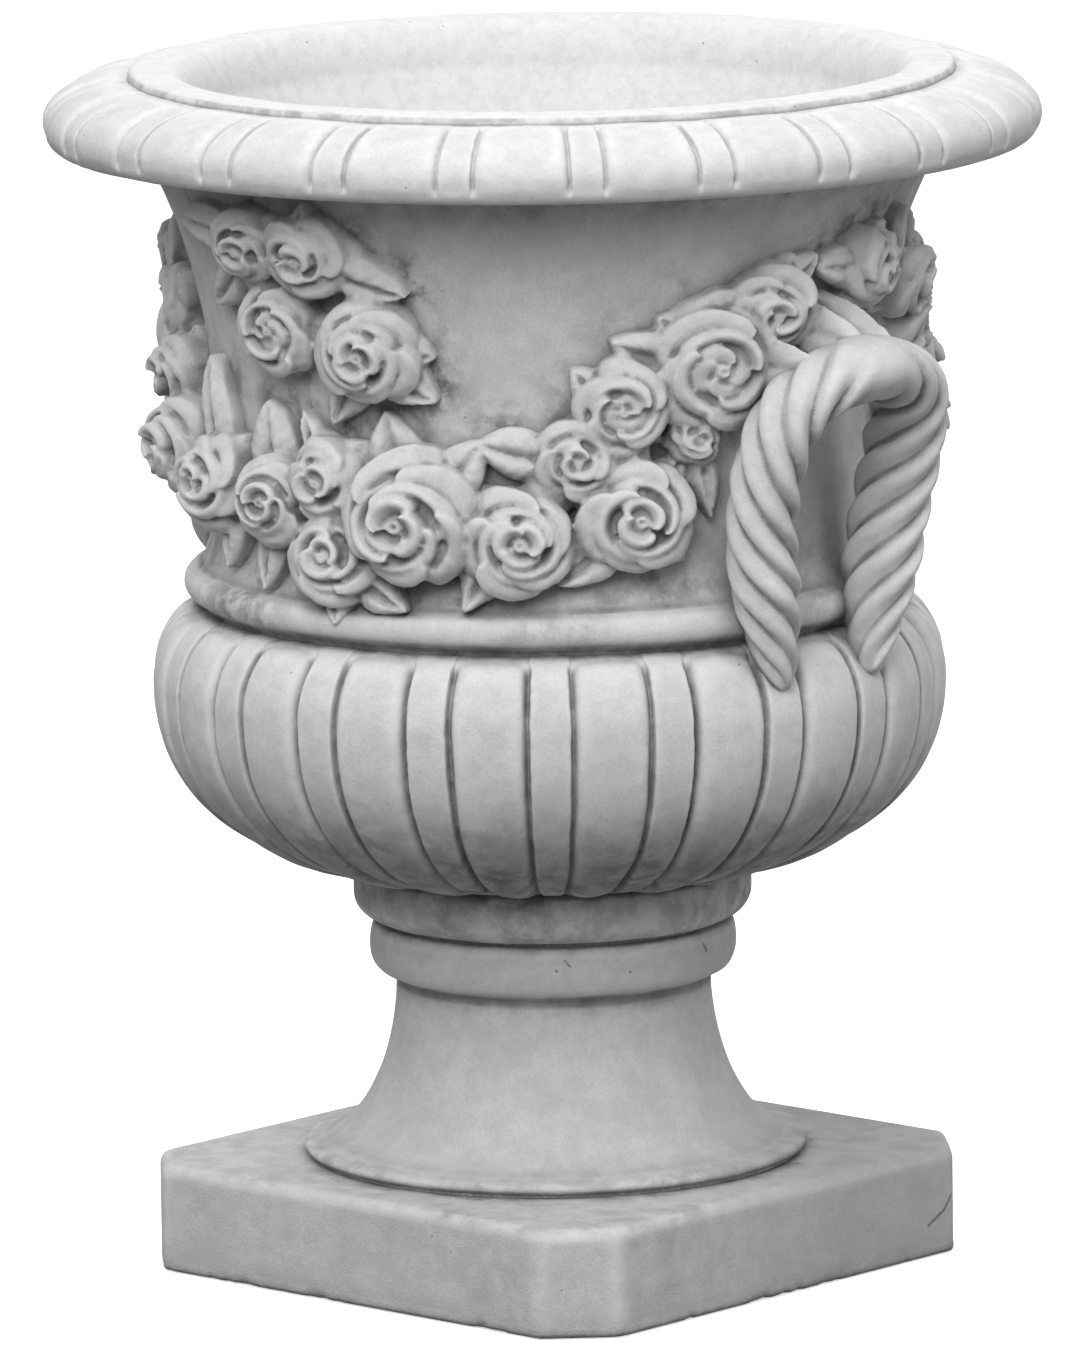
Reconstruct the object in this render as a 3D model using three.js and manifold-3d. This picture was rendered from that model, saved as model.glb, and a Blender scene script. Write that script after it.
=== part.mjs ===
// Garden urn in cast stone: a fluted bowl with rose garlands and two rope handles, bedded
// on a turned pedestal and a square plinth. Millimetres, +Z up, origin under the plinth's centre.

import * as THREE from 'three';
import { mergeVertices } from 'three/addons/utils/BufferGeometryUtils.js';
import Module from 'manifold-3d';

const wasm = await Module();
wasm.setup();

// ---- driving sizes ----

const clearance = 0.3; // between a casting and whatever sits in it or against it
const bedThickness = 2; // mortar bed
const bedInset = 3; // how far the mortar is raked back from the edge

const plinth = { side: 308, height: 54, cornerCut: 28.5, topRound: 7, bottomChamfer: 2 };

const pedestal = {
  footRadius: 125.3,
  footEdge: 4,
  neckRadius: 78.6,
  neckHeight: 84, // from the foot's edge up to the ring
  ringRadius: 91.4,
  ringHeight: 28,
  ringSeat: 88, // radius of the top face that carries the bowl
};

const bowl = {
  seatRadius: 88,
  ringRadius: 99.3,
  ringHeight: 26.5,
  bellyRadius: 196.5,
  bellyDrop: 95.5, // from the widest place down to the ring
  bellyRise: 36, // from the widest place up to the band
  bellyNeck: 176, // radius where the belly meets the band's groove
  bellyFullness: 2.2, // 2 is an ellipse, more is squarer
  bellyTuck: 0.66, // where the underside's curve turns level, as a share of the ring's radius
  shoulderTuck: 0.91, // the same above the widest place, as a share of bellyNeck
  bandRadius: 180.7,
  bandHeight: 15,
  bandGroove: 5,
  waistRadius: 164.5,
  waistRise: 58, // from the band up to the narrowest place
  bellRise: 152, // from the narrowest place up to the rim
  bellFlare: 33.5,
  bellFoot: 8.5, // how far the wall spreads again at the band
  rimRadius: 246,
  rimEdge: 12, // from the rim's underside up to its widest place
  rimRise: 22,
  lipRadius: 204,
  lipHeight: 4,
  lipRound: 2,
  mouthRadius: 172,
  wall: 26,
  floor: 29.5, // stone over the ring
  skin: 14, // how far the fluted faces reach into the stone behind them
};

const bowlTurn = -3; // degrees that the bowl was bedded off square with the plinth

// narrow ribs between wide lobes; angles in degrees
const bellyFluting = { count: 20, ribWidth: 6.4, firstRib: 9, depth: 5.5, lobe: 2 };
const rimFluting = { count: 24, ribWidth: 4.1, firstRib: 5, depth: 3.5, lobe: 1.2 };

const drain = { tubeRadius: 16, tubeWall: 2, setBack: 1.5 };
const dowel = { radius: 6, length: 60, cover: 10 }; // cover is the stone outside it in the neck

const handle = {
  ropeWidth: 33, // along the wall
  ropeDepth: 43, // out from the wall
  strands: 6,
  lead: 100, // length of rope in which a strand goes round once
  strandSink: 3.2,
  taperLength: 52,
  tipShare: 0.15, // of the full section, left at each foot
  ringStep: 12,
  barRadius: 4,
  socketCover: 8, // stone between the end of a bar and the bowl's hollow
  barLevel: 12, // height of the bar's ends over the belly's top
  barBend: 8,
};

// rope centre line, foot to top of the arch: degrees from the handle's middle,
// height over the belly's top, distance outside the band's radius
const ropeRun = [
  [9, -20, 11.5],
  [10.5, 4, 11],
  [13.2, 58, 15.5],
  [13, 98, 25],
  [10, 124, 33],
  [0, 137, 38],
];

// roses: bearing in degrees from the bowl's front, height over the band, radius, and how far
// the face stands off the wall; leaves: way that it points (degrees from level, turning
// upward from the right), reach from the middle of its rose, width
const swagRoses = [
  { at: [-78, 162], radius: 19, stand: 22, leaves: [[250, 31, 16], [175, 38, 20]] },
  { at: [-65, 151], radius: 20, stand: 24, leaves: [[110, 40, 22]] },
  { at: [-56, 126], radius: 21, stand: 25, leaves: [[30, 42, 22]] },
  { at: [-47, 97], radius: 21, stand: 27, leaves: [[210, 42, 22]] },
  { at: [-38, 65], radius: 24, stand: 32, leaves: [[230, 44, 24]] },
  { at: [-20.5, 53], radius: 22, stand: 29, leaves: [[101, 62, 26], [278, 43, 24]] },
  { at: [-4, 49], radius: 22, stand: 29, leaves: [[97, 50, 32], [262, 45, 22]] },
  { at: [8, 65], radius: 20, stand: 25, leaves: [[119, 36, 15]] },
  { at: [10, 24], radius: 22, stand: 26, leaves: [[329, 44, 20]] },
  { at: [24, 48], radius: 31, stand: 33, leaves: [[108, 54, 30], [51, 49, 24]] },
  { at: [40, 38], radius: 25, stand: 28, leaves: [[234, 43, 22]] },
  { at: [49.5, 76], radius: 19, stand: 22, leaves: [[169, 47, 26]] },
  { at: [59.5, 49], radius: 26, stand: 28, leaves: [[221, 52, 26]] },
  { at: [57, 103], radius: 21, stand: 24, leaves: [] },
  { at: [70.5, 120], radius: 28, stand: 29, leaves: [[163, 50, 26]] },
  { at: [70, 84], radius: 13, stand: 18, leaves: [[280, 40, 15]] },
  { at: [82, 147], radius: 21, stand: 25, leaves: [[179, 50, 26], [45, 36, 18]] },
];

const sprayRoses = [
  { at: [16.5, 134], radius: 25, stand: 27, leaves: [[317, 43, 26], [241, 50, 24]] },
  { at: [-0.5, 139], radius: 22, stand: 23, leaves: [] },
  { at: [-3, 180], radius: 19, stand: 22, leaves: [[170, 58, 22], [220, 58, 24]] },
  { at: [8.5, 177], radius: 21, stand: 22, leaves: [[338, 52, 28]] },
];

// bedDepth is how far a rose would run on behind the wall's face before it is cut to fit
const garland = { stemRadius: 11, bedDepth: 10, leafThickness: 9, leafLift: 4 };

const smoothness = { turned: 36, round: 12, pin: 8, petals: 7 }; // facets round each kind

// ---- levels that follow from the sizes ----

const pedestalBase = plinth.height + bedThickness;
const neckBase = pedestalBase + pedestal.footEdge;
const ringBase = neckBase + pedestal.neckHeight;
const pedestalTop = ringBase + pedestal.ringHeight;
const bowlBase = pedestalTop + bedThickness;
const bellyBase = bowlBase + bowl.ringHeight;
const bellyLevel = bellyBase + bowl.bellyDrop;
const bellyTop = bellyLevel + bowl.bellyRise;
const bandBase = bellyTop + bowl.bandGroove;
const bandTop = bandBase + bowl.bandHeight;
const waistLevel = bandTop + bowl.waistRise;
const rimBase = waistLevel + bowl.bellRise;
const rimWidest = rimBase + bowl.rimEdge;
const rimTop = rimWidest + bowl.rimRise;
const urnTop = rimTop + bowl.lipHeight;
const floorLevel = bellyBase + bowl.floor;
const drainRadius = drain.tubeRadius + clearance;
const dowelHole = dowel.radius + clearance;
const dowelFromAxis = pedestal.neckRadius - dowel.cover - dowelHole;

// ---- materials ----

function stone(color, roughness) {
  return new THREE.MeshStandardMaterial({ color, roughness, metalness: 0 });
}

const paleStone = stone(0xcfcfcd, 0.85);
const mortar = stone(0x8d8c88, 0.95);
const plastic = stone(0x5a5c5e, 0.5);
const steel = new THREE.MeshStandardMaterial({ color: 0x8b8d90, roughness: 0.45, metalness: 1 });

// ---- solids ----

// a closed geometry as a solid, with its shared corners merged and its faces turned outward
function solid(geometry) {
  const bare = geometry.index ? geometry.clone() : geometry;
  bare.deleteAttribute('normal');
  bare.deleteAttribute('uv');
  const merged = mergeVertices(bare, 1e-3);
  const corners = merged.attributes.position;
  const faces = [];
  for (let i = 0; i < merged.index.count; i += 3) {
    const [a, b, c] = [0, 1, 2].map((step) => merged.index.getX(i + step));
    if (a !== b && b !== c && c !== a) faces.push([a, b, c]);
  }
  const at = (i) => new THREE.Vector3().fromBufferAttribute(corners, i);
  const volume = faces.reduce((sum, [a, b, c]) => sum + at(a).dot(at(b).cross(at(c))), 0);
  const outward = volume > 0 ? faces : faces.map(([a, b, c]) => [a, c, b]);
  const mesh = new wasm.Mesh({
    numProp: 3,
    vertProperties: Float32Array.from(corners.array),
    triVerts: Uint32Array.from(outward.flat()),
  });
  return new wasm.Manifold(mesh);
}

function joined(solids) {
  return solids.reduce((whole, next) => whole.add(next));
}

function piece(name, body, material) {
  const { vertProperties, triVerts } = body.getMesh();
  const geometry = new THREE.BufferGeometry();
  geometry.setAttribute('position', new THREE.BufferAttribute(vertProperties, 3));
  geometry.setIndex(new THREE.BufferAttribute(triVerts, 1));
  geometry.computeVertexNormals();
  const mesh = new THREE.Mesh(geometry, material);
  mesh.name = name;
  return mesh;
}

// an outline of [radius, height] turned about the Z axis and closed on itself
function lathe(outline, segments) {
  const points = [...outline, outline[0]].map(([r, z]) => new THREE.Vector2(r, z));
  return new THREE.LatheGeometry(points, segments).rotateX(Math.PI / 2);
}

function turned(outline, segments = smoothness.turned) {
  return solid(lathe(outline, segments));
}

function rod(radius, base, top, segments) {
  const height = top - base;
  const geometry = new THREE.CylinderGeometry(radius, radius, height, segments);
  return solid(geometry.rotateX(Math.PI / 2).translate(0, 0, base + height / 2));
}

function radians(degrees) {
  return THREE.MathUtils.degToRad(degrees);
}

// a point at a bearing from the bowl's front, counted toward its right-hand handle
function around(bearing, height, radius) {
  const turn = radians(bearing);
  return new THREE.Vector3(radius * Math.sin(turn), -radius * Math.cos(turn), height);
}

// a round bar along a path
function bar(path, radius, steps, sides) {
  const section = new THREE.Shape();
  for (let i = 0; i < sides; i++) {
    const turn = (i * 2 * Math.PI) / sides;
    section[i ? 'lineTo' : 'moveTo'](radius * Math.cos(turn), radius * Math.sin(turn));
  }
  section.closePath();
  return solid(new THREE.ExtrudeGeometry(section, { steps, extrudePath: path, bevelEnabled: false }));
}

// evenly spaced numbers from one value to another
function spread(from, to, count) {
  return Array.from({ length: count + 1 }, (_, i) => from + ((to - from) * i) / count);
}

// ---- outlines ----

// radius on a curve that is widest at the start, and after a span has drawn in to `narrow`
// on its way to turning level at `core`
function swell(distance, span, wide, narrow, core, fullness) {
  const drawnIn = ((narrow - core) / (wide - core)) ** fullness;
  const reach = span / (1 - drawnIn) ** (1 / fullness);
  const level = (1 - (distance / reach) ** fullness) ** (1 / fullness);
  return core + (wide - core) * level;
}

function bellyUnder(height) {
  const { bellyDrop, bellyRadius, ringRadius, bellyTuck, bellyFullness } = bowl;
  const core = ringRadius * bellyTuck;
  return swell(bellyLevel - height, bellyDrop, bellyRadius, ringRadius, core, bellyFullness);
}

function bellyOver(height) {
  const { bellyRise, bellyRadius, bellyNeck, shoulderTuck } = bowl;
  return swell(height - bellyLevel, bellyRise, bellyRadius, bellyNeck, bellyNeck * shoulderTuck, 2);
}

// the hollow follows the belly's underside, one wall further in
function hollowUnder(height) {
  const { bellyRadius, ringRadius, wall, bellyTuck, bellyFullness } = bowl;
  const drop = bellyLevel - floorLevel;
  const foot = ringRadius - wall;
  return swell(bellyLevel - height, drop, bellyRadius - wall, foot, foot * bellyTuck, bellyFullness);
}

function bellyOutline() {
  // closer together at the foot, where the curve is tightest
  const levels = spread(0, 1, 4).map((share) => bellyBase + bowl.bellyDrop * share ** 1.5);
  const under = levels.map((z) => [bellyUnder(z), z]);
  const over = spread(bellyLevel, bellyTop, 3).slice(1).map((z) => [bellyOver(z), z]);
  return [...under, ...over];
}

// the bell-shaped wall above the band
function wallRadius(height) {
  if (height < waistLevel) {
    const fall = (waistLevel - height) / bowl.waistRise;
    return bowl.waistRadius + bowl.bellFoot * fall ** 4;
  }
  const rise = (height - waistLevel) / bowl.bellRise;
  return bowl.waistRadius + bowl.bellFlare * rise ** 2.5;
}

function wallSlope(height) {
  return (wallRadius(height + 1) - wallRadius(height - 1)) / 2;
}

function bandOutline() {
  const round = bowl.bandHeight / 4;
  return [
    [bowl.bellyNeck - bowl.bandGroove / 2, bandBase - bowl.bandGroove / 2],
    [bowl.bandRadius - round / 2, bandBase],
    [bowl.bandRadius, bandBase + round],
    [bowl.bandRadius, bandTop - round],
    [bowl.bandRadius - round, bandTop],
  ];
}

function wallOutline() {
  const low = spread(bandTop + 2, waistLevel, 2);
  const high = spread(waistLevel, rimBase, 4).slice(1);
  return [...low, ...high].map((z) => [wallRadius(z), z]);
}

// the rim's rounded top, from its widest place up to the lip
function rimOutline() {
  return spread(0, 90, 3).map((turn) => [
    bowl.lipRadius + (bowl.rimRadius - bowl.lipRadius) * Math.cos(radians(turn)),
    rimWidest + bowl.rimRise * Math.sin(radians(turn)),
  ]);
}

function hollowOutline() {
  const basin = spread(floorLevel, bellyLevel, 3).map((z) => [hollowUnder(z), z]);
  const throat = spread(bandTop, rimBase, 4).slice(0, -1).map((z) => [wallRadius(z) - bowl.wall, z]);
  const { mouthRadius, lipRound } = bowl;
  const clear = urnTop + lipRound;
  return [
    [0, floorLevel],
    ...basin,
    ...throat,
    [mouthRadius, rimWidest],
    [mouthRadius, urnTop - lipRound],
    [mouthRadius + lipRound, urnTop],
    [mouthRadius + lipRound, clear],
    [0, clear],
  ];
}

// ---- fluting ----

// one repeat: angle from the rib's middle, and how far that place sinks (groove) or stands (lobe)
function fluteRepeat({ count, ribWidth, depth, lobe }) {
  const half = ribWidth / 2;
  const wide = 360 / count - ribWidth;
  return [
    { turn: -half, sink: depth },
    { turn: 0, sink: depth * 0.15 },
    { turn: half, sink: depth },
    { turn: half + wide * 0.28, sink: -lobe },
    { turn: half + wide * 0.72, sink: -lobe },
  ];
}

// a turned outline whose fluted rows are sunk along their own normals
function fluted(outline, rows, fluting, grow) {
  const repeat = fluteRepeat(fluting);
  const segments = fluting.count * repeat.length;
  const geometry = lathe(outline, segments);
  const place = geometry.attributes.position;
  const ring = outline.length + 1;
  for (let i = 0; i < place.count; i++) {
    const column = Math.floor(i / ring) % segments;
    const row = (i % ring) % outline.length;
    const step = repeat[column % repeat.length];
    const pitch = Math.floor(column / repeat.length) * (360 / fluting.count);
    const [r, z] = outline[row];
    const share = rows[row] ?? 0;
    const [nr, nz] = outlineNormal(outline, row);
    const shift = (share > 0 ? grow : 0) - step.sink * share;
    const bearing = fluting.firstRib + pitch + step.turn;
    const point = around(bearing, z + nz * shift, r + nr * shift);
    place.setXYZ(i, point.x, point.y, point.z);
  }
  return solid(geometry);
}

function outlineNormal(outline, row) {
  const before = outline[Math.max(row - 1, 0)];
  const after = outline[Math.min(row + 1, outline.length - 1)];
  const [dr, dz] = [after[0] - before[0], after[1] - before[1]];
  const length = Math.hypot(dr, dz);
  return [dz / length, -dr / length];
}

// the belly's lobes and ribs; the fluting runs out at both ends
function flutedBelly(grow = 0) {
  const face = bellyOutline();
  const rows = face.map((_, i) => (i === 0 || i === face.length - 1 ? 0.3 : 1));
  const back = [
    [bowl.bellyNeck - bowl.skin, bellyTop],
    [bowl.bellyRadius - 1.5 * bowl.skin, bellyLevel],
    [bowl.ringRadius - bowl.skin, bellyBase],
  ];
  return fluted([...face, ...back], rows, bellyFluting, grow);
}

// the rim's lobes and ribs over a smooth lower edge
function flutedRim(grow = 0) {
  const face = rimOutline();
  const edge = [
    [wallRadius(rimBase) - bowl.skin / 2, rimBase],
    [bowl.rimRadius - 3, rimBase + 0.4 * bowl.rimEdge],
    [bowl.rimRadius - 0.6, rimBase + 0.55 * bowl.rimEdge],
  ];
  const back = [bowl.lipRadius - bowl.skin, rimTop - bowl.lipHeight / 2];
  const rows = [...edge.map(() => 0), ...face.map((_, i) => (i === face.length - 1 ? 0.3 : 1))];
  return fluted([...edge, ...face, back], rows, rimFluting, grow);
}

// ---- bowl ----

function bowlCore(grow) {
  const { ringRadius, ringHeight, lipRadius, lipRound, skin } = bowl;
  const ring = [
    [bowl.seatRadius, bowlBase],
    [ringRadius - 0.07 * ringRadius, bowlBase + 0.15 * ringHeight],
    [ringRadius, bowlBase + 0.45 * ringHeight],
    [ringRadius, bellyBase + 1],
  ];
  const behindBelly = [
    [bowl.bellyRadius - 0.85 * skin, bellyLevel],
    [bowl.bellyNeck - 0.4 * skin, bellyTop - 0.3 * skin],
  ];
  const lip = [
    [lipRadius - 2 * lipRound, rimWidest],
    [lipRadius, urnTop - lipRound],
    [lipRadius - lipRound, urnTop],
  ];
  const face = [...ring, ...behindBelly, ...bandOutline(), ...wallOutline(), ...lip];
  const grown = face.map(([r, z]) => [r + grow, z]);
  return turned([[0, bowlBase], ...grown, [0, urnTop]]);
}

// the bowl's outside with no hollow; grown, it cuts whatever lies against it
function bowlOutside(grow = 0) {
  return joined([bowlCore(grow), flutedBelly(grow), flutedRim(grow)]);
}

function makeBowl(socketCuts) {
  const hollow = turned(hollowOutline());
  const hole = rod(drainRadius, bowlBase - clearance, floorLevel + clearance, smoothness.round);
  return [hollow, hole, ...socketCuts].reduce((body, cut) => body.subtract(cut), bowlOutside());
}

// ---- handle ----

function ropePath() {
  const place = ([turn, height, out]) => around(90 + turn, bellyTop + height, bowl.bandRadius + out);
  const right = ropeRun.map(place);
  const left = ropeRun.slice(0, -1).map(([turn, ...rest]) => place([-turn, ...rest]));
  return new THREE.CatmullRomCurve3([...left, ...right.reverse()], false, 'centripetal');
}

// the strands lean away from the middle on both legs, so the twist turns over at the top
function makeRope(grow = 0) {
  const path = ropePath();
  const length = path.getLength();
  const count = 2 * Math.round(length / handle.ringStep / 2);
  const points = [];
  const perStrand = 2;
  const sides = handle.strands * perStrand;
  for (let i = 0; i <= count; i++) {
    const centre = path.getPointAt(i / count);
    const along = path.getTangentAt(i / count);
    const out = new THREE.Vector3(centre.x, centre.y, 0).normalize();
    const side = along.clone().cross(out).normalize();
    out.crossVectors(side, along);
    const toEnd = (Math.min(i, count - i) / count) * length;
    const fullness = Math.sqrt(Math.min(toEnd / handle.taperLength, 1));
    const taper = handle.tipShare + (1 - handle.tipShare) * fullness;
    const twist = ((Math.abs(i / count - 0.5) * length) / handle.lead) * 2 * Math.PI;
    for (let k = 0; k < sides; k++) {
      const turn = twist + (k * 2 * Math.PI) / sides;
      const sunk = k % perStrand === 0 ? handle.strandSink * taper : 0;
      const depth = (handle.ropeDepth / 2) * taper - sunk + grow;
      const width = (handle.ropeWidth / 2) * taper - sunk + grow;
      points.push(centre.clone().addScaledVector(out, depth * Math.cos(turn))
        .addScaledVector(side, width * Math.sin(turn)));
    }
  }
  return solid(loft(points, count + 1, sides));
}

// a closed tube from rings of points, with a fan over each end
function loft(points, rings, sides) {
  const mean = (ring) => {
    const sum = new THREE.Vector3();
    for (let k = 0; k < sides; k++) sum.add(points[ring * sides + k]);
    return sum.divideScalar(sides);
  };
  const corners = [...points, mean(0), mean(rings - 1)];
  const faces = [];
  for (let i = 0; i < rings - 1; i++) {
    for (let k = 0; k < sides; k++) {
      const [a, b] = [i * sides + k, i * sides + ((k + 1) % sides)];
      faces.push(a, b, b + sides, a, b + sides, a + sides);
    }
  }
  const last = (rings - 1) * sides;
  for (let k = 0; k < sides; k++) {
    const next = (k + 1) % sides;
    faces.push(points.length, next, k, points.length + 1, last + k, last + next);
  }
  const geometry = new THREE.BufferGeometry().setFromPoints(corners);
  geometry.setIndex(faces);
  return geometry;
}

// the steel staple inside the rope, its ends turned in and grouted in the bowl's wall
function barPath(extra) {
  const level = bellyTop + handle.barLevel;
  const end = ropeRun[1][0] + 0.6;
  const foot = [
    [end, level, bowl.bandRadius - bowl.wall + handle.socketCover - extra],
    [end, level, bowl.bandRadius],
    [end + 0.5, level + handle.barBend, bowl.bandRadius + ropeRun[1][2]],
  ];
  const arch = ropeRun.slice(2).map(([turn, height, out]) => {
    return [turn, bellyTop + height, bowl.bandRadius + out];
  });
  const half = [...foot, ...arch];
  const right = half.map(([turn, z, r]) => around(90 + turn, z, r));
  const left = half.slice(0, -1).map(([turn, z, r]) => around(90 - turn, z, r));
  return new THREE.CatmullRomCurve3([...left, ...right.reverse()], false, 'centripetal');
}

function makeBar(extra = 0) {
  return bar(barPath(extra), handle.barRadius + extra, 26, 5);
}

// ---- garland ----

// turns and places a shape drawn flat (face up the Z axis) onto the wall
function onWall(geometry, bearing, height, pointing, lift) {
  const slope = wallSlope(height);
  const out = around(bearing, -slope, 1).normalize();
  const right = around(bearing + 90, 0, 1);
  const up = new THREE.Vector3().crossVectors(out, right);
  const basis = new THREE.Matrix4().makeBasis(right, up, out);
  const spot = around(bearing, height, wallRadius(height)).addScaledVector(out, lift);
  geometry.rotateZ(radians(pointing));
  return geometry.applyMatrix4(basis.setPosition(spot));
}

// an open rose seen from above: a bud, a ring of petals and the outer petals
function roseShape(radius, stand) {
  const outline = [
    [0, stand],
    [0.42 * radius, 0.76 * stand],
    [0.66 * radius, 0.88 * stand],
    [radius, 0.42 * stand],
    [0.8 * radius, -garland.bedDepth],
    [0, -garland.bedDepth],
  ];
  return lathe(outline, smoothness.petals);
}

// a pointed leaf along the X axis, widest near its stalk and folded down the middle
function leafShape(stalk, tip, width) {
  const length = tip - stalk;
  const { leafThickness } = garland;
  const geometry = new THREE.OctahedronGeometry(1);
  const place = geometry.attributes.position;
  for (let i = 0; i < place.count; i++) {
    const [x, y, z] = [place.getX(i), place.getY(i), place.getZ(i)];
    const along = x === 0 ? stalk + length * 0.45 : stalk + (length * (x + 1)) / 2;
    const face = z < 0 ? -leafThickness : leafThickness * 0.35 * z + leafThickness * 0.7 * Math.abs(y);
    place.setXYZ(i, along, (y * width) / 2, face);
  }
  return geometry;
}

function stem(roses) {
  const points = roses.map(({ at: [bearing, rise] }) => {
    const height = bandTop + rise;
    return around(bearing, height, wallRadius(height) + garland.stemRadius * 0.3);
  });
  return bar(new THREE.CatmullRomCurve3(points), garland.stemRadius, roses.length, 5);
}

function makeGarland(roses, cuts) {
  const shapes = roses.flatMap(({ at: [bearing, rise], radius, stand, leaves }, i) => {
    const height = bandTop + rise;
    const flower = onWall(roseShape(radius, stand), bearing, height, i * 40, 0);
    const foliage = leaves.map(([pointing, reach, width]) => {
      const leaf = leafShape(radius * 0.5, reach, width);
      return onWall(leaf, bearing, height, pointing, garland.leafLift);
    });
    return [flower, ...foliage];
  });
  const whole = joined([stem(roses), ...shapes.map(solid)]);
  return cuts.reduce((body, cut) => body.subtract(cut), whole);
}

// ---- pedestal, plinth and what joins them ----

function makePedestal() {
  const { footRadius, neckRadius, neckHeight, ringRadius, ringHeight, ringSeat } = pedestal;
  const flare = spread(0, neckHeight, 5).map((rise) => {
    const fall = 1 - rise / neckHeight;
    return [footRadius - (footRadius - neckRadius) * Math.sqrt(1 - fall * fall), neckBase + rise];
  });
  const ring = [
    [0.96 * ringRadius, ringBase + 0.2 * ringHeight],
    [ringRadius, ringBase + 0.45 * ringHeight],
    [ringRadius, ringBase + 0.75 * ringHeight],
    [ringSeat, pedestalTop],
  ];
  const outline = [[drainRadius, pedestalBase], [footRadius, pedestalBase], ...flare, ...ring];
  return turned([...outline, [drainRadius, pedestalTop]]);
}

// the plinth's outline, drawn in by an inset, with its corners cut off
function plinthRing(inset, height) {
  const half = plinth.side / 2 - inset;
  const cut = plinth.side / 2 - plinth.cornerCut - inset * Math.tan(Math.PI / 8);
  const quarter = [[half, -cut], [half, cut]];
  return [0, 1, 2, 3].flatMap((turns) => quarter.map(([x, y]) => {
    return new THREE.Vector3(x, y, height).applyEuler(new THREE.Euler(0, 0, turns * Math.PI / 2));
  }));
}

function makePlinth() {
  const { height, topRound, bottomChamfer } = plinth;
  const shoulder = spread(0, 90, 2).map((turn) => plinthRing(
    topRound * (1 - Math.cos(radians(turn))),
    height - topRound * (1 - Math.sin(radians(turn))),
  ));
  const rings = [plinthRing(bottomChamfer, 0), plinthRing(0, bottomChamfer), ...shoulder];
  const slab = solid(loft(rings.flat(), rings.length, 8));
  return slab.subtract(rod(drainRadius, -clearance, height + clearance, smoothness.round));
}

// two pins on a line through the axis, or the holes that they sit in
function pins({ level, turn }, radius, length) {
  return [-1, 1].map((side) => {
    const body = rod(radius, level - length / 2, level + length / 2, smoothness.pin);
    return body.translate([side * dowelFromAxis, 0, 0]).rotate([0, 0, turn]);
  });
}

function drilled(body, joint) {
  const holes = pins(joint, dowelHole, dowel.length + 2 * clearance);
  return holes.reduce((whole, hole) => whole.subtract(hole), body);
}

function makeBed(base, radius) {
  const top = base + bedThickness;
  return turned([[drainRadius, base], [radius, base], [radius, top], [drainRadius, top]]);
}

function makeDrainTube() {
  const outer = drain.tubeRadius;
  const inner = outer - drain.tubeWall;
  const [low, high] = [drain.setBack, floorLevel - drain.setBack];
  return turned([[inner, low], [outer, low], [outer, high], [inner, high]], smoothness.round);
}

// ---- the urn ----

const urn = new THREE.Group();
const lowerJoint = { level: plinth.height + bedThickness / 2, turn: 0 };
const upperJoint = { level: pedestalTop + bedThickness / 2, turn: bowlTurn };
const bowlJoint = { ...upperJoint, turn: 0 }; // as the bowl itself sees it
const lowerBed = makeBed(plinth.height, pedestal.footRadius - bedInset);
const upperBed = makeBed(pedestalTop, pedestal.ringSeat - bedInset);

urn.add(piece('plinth', drilled(makePlinth(), lowerJoint), paleStone));
urn.add(piece('mortar_bed_pedestal', drilled(lowerBed, lowerJoint), mortar));
urn.add(piece('pedestal', drilled(drilled(makePedestal(), lowerJoint), upperJoint), paleStone));
urn.add(piece('mortar_bed_bowl', drilled(upperBed, upperJoint), mortar));
urn.add(piece('drain_tube', makeDrainTube(), plastic));

for (const [name, joint] of [['plinth', lowerJoint], ['bowl', upperJoint]]) {
  pins(joint, dowel.radius, dowel.length).forEach((pin, i) => {
    urn.add(piece(`dowel_${name}_${i + 1}`, pin, steel));
  });
}

const barRoom = makeBar(clearance);
const turnedBarRoom = barRoom.rotate([0, 0, 180]);
const againstBowl = bowlOutside(clearance);
const aroundRope = makeRope(clearance);
const rope = makeRope().subtract(againstBowl).subtract(barRoom);
const cuts = [againstBowl, aroundRope, aroundRope.rotate([0, 0, 180])];
const swag = makeGarland(swagRoses, cuts);
const spray = makeGarland(sprayRoses, cuts);

const upper = new THREE.Group();
upper.rotation.z = radians(bowlTurn);
urn.add(upper);
upper.add(piece('bowl', drilled(makeBowl([barRoom, turnedBarRoom]), bowlJoint), paleStone));

for (const [side, bowlSide, turn] of [['right', 'front', 0], ['left', 'back', 180]]) {
  const half = new THREE.Group();
  half.rotation.z = radians(turn);
  upper.add(half);
  half.add(piece(`rope_handle_${side}`, rope, paleStone));
  half.add(piece(`handle_bar_${side}`, makeBar(), steel));
  half.add(piece(`rose_swag_${bowlSide}`, swag, paleStone));
  half.add(piece(`rose_spray_${bowlSide}`, spray, paleStone));
}

export default urn;
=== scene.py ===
import math

import bmesh
import bpy
import numpy as np
from mathutils import Matrix, Vector


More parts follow.
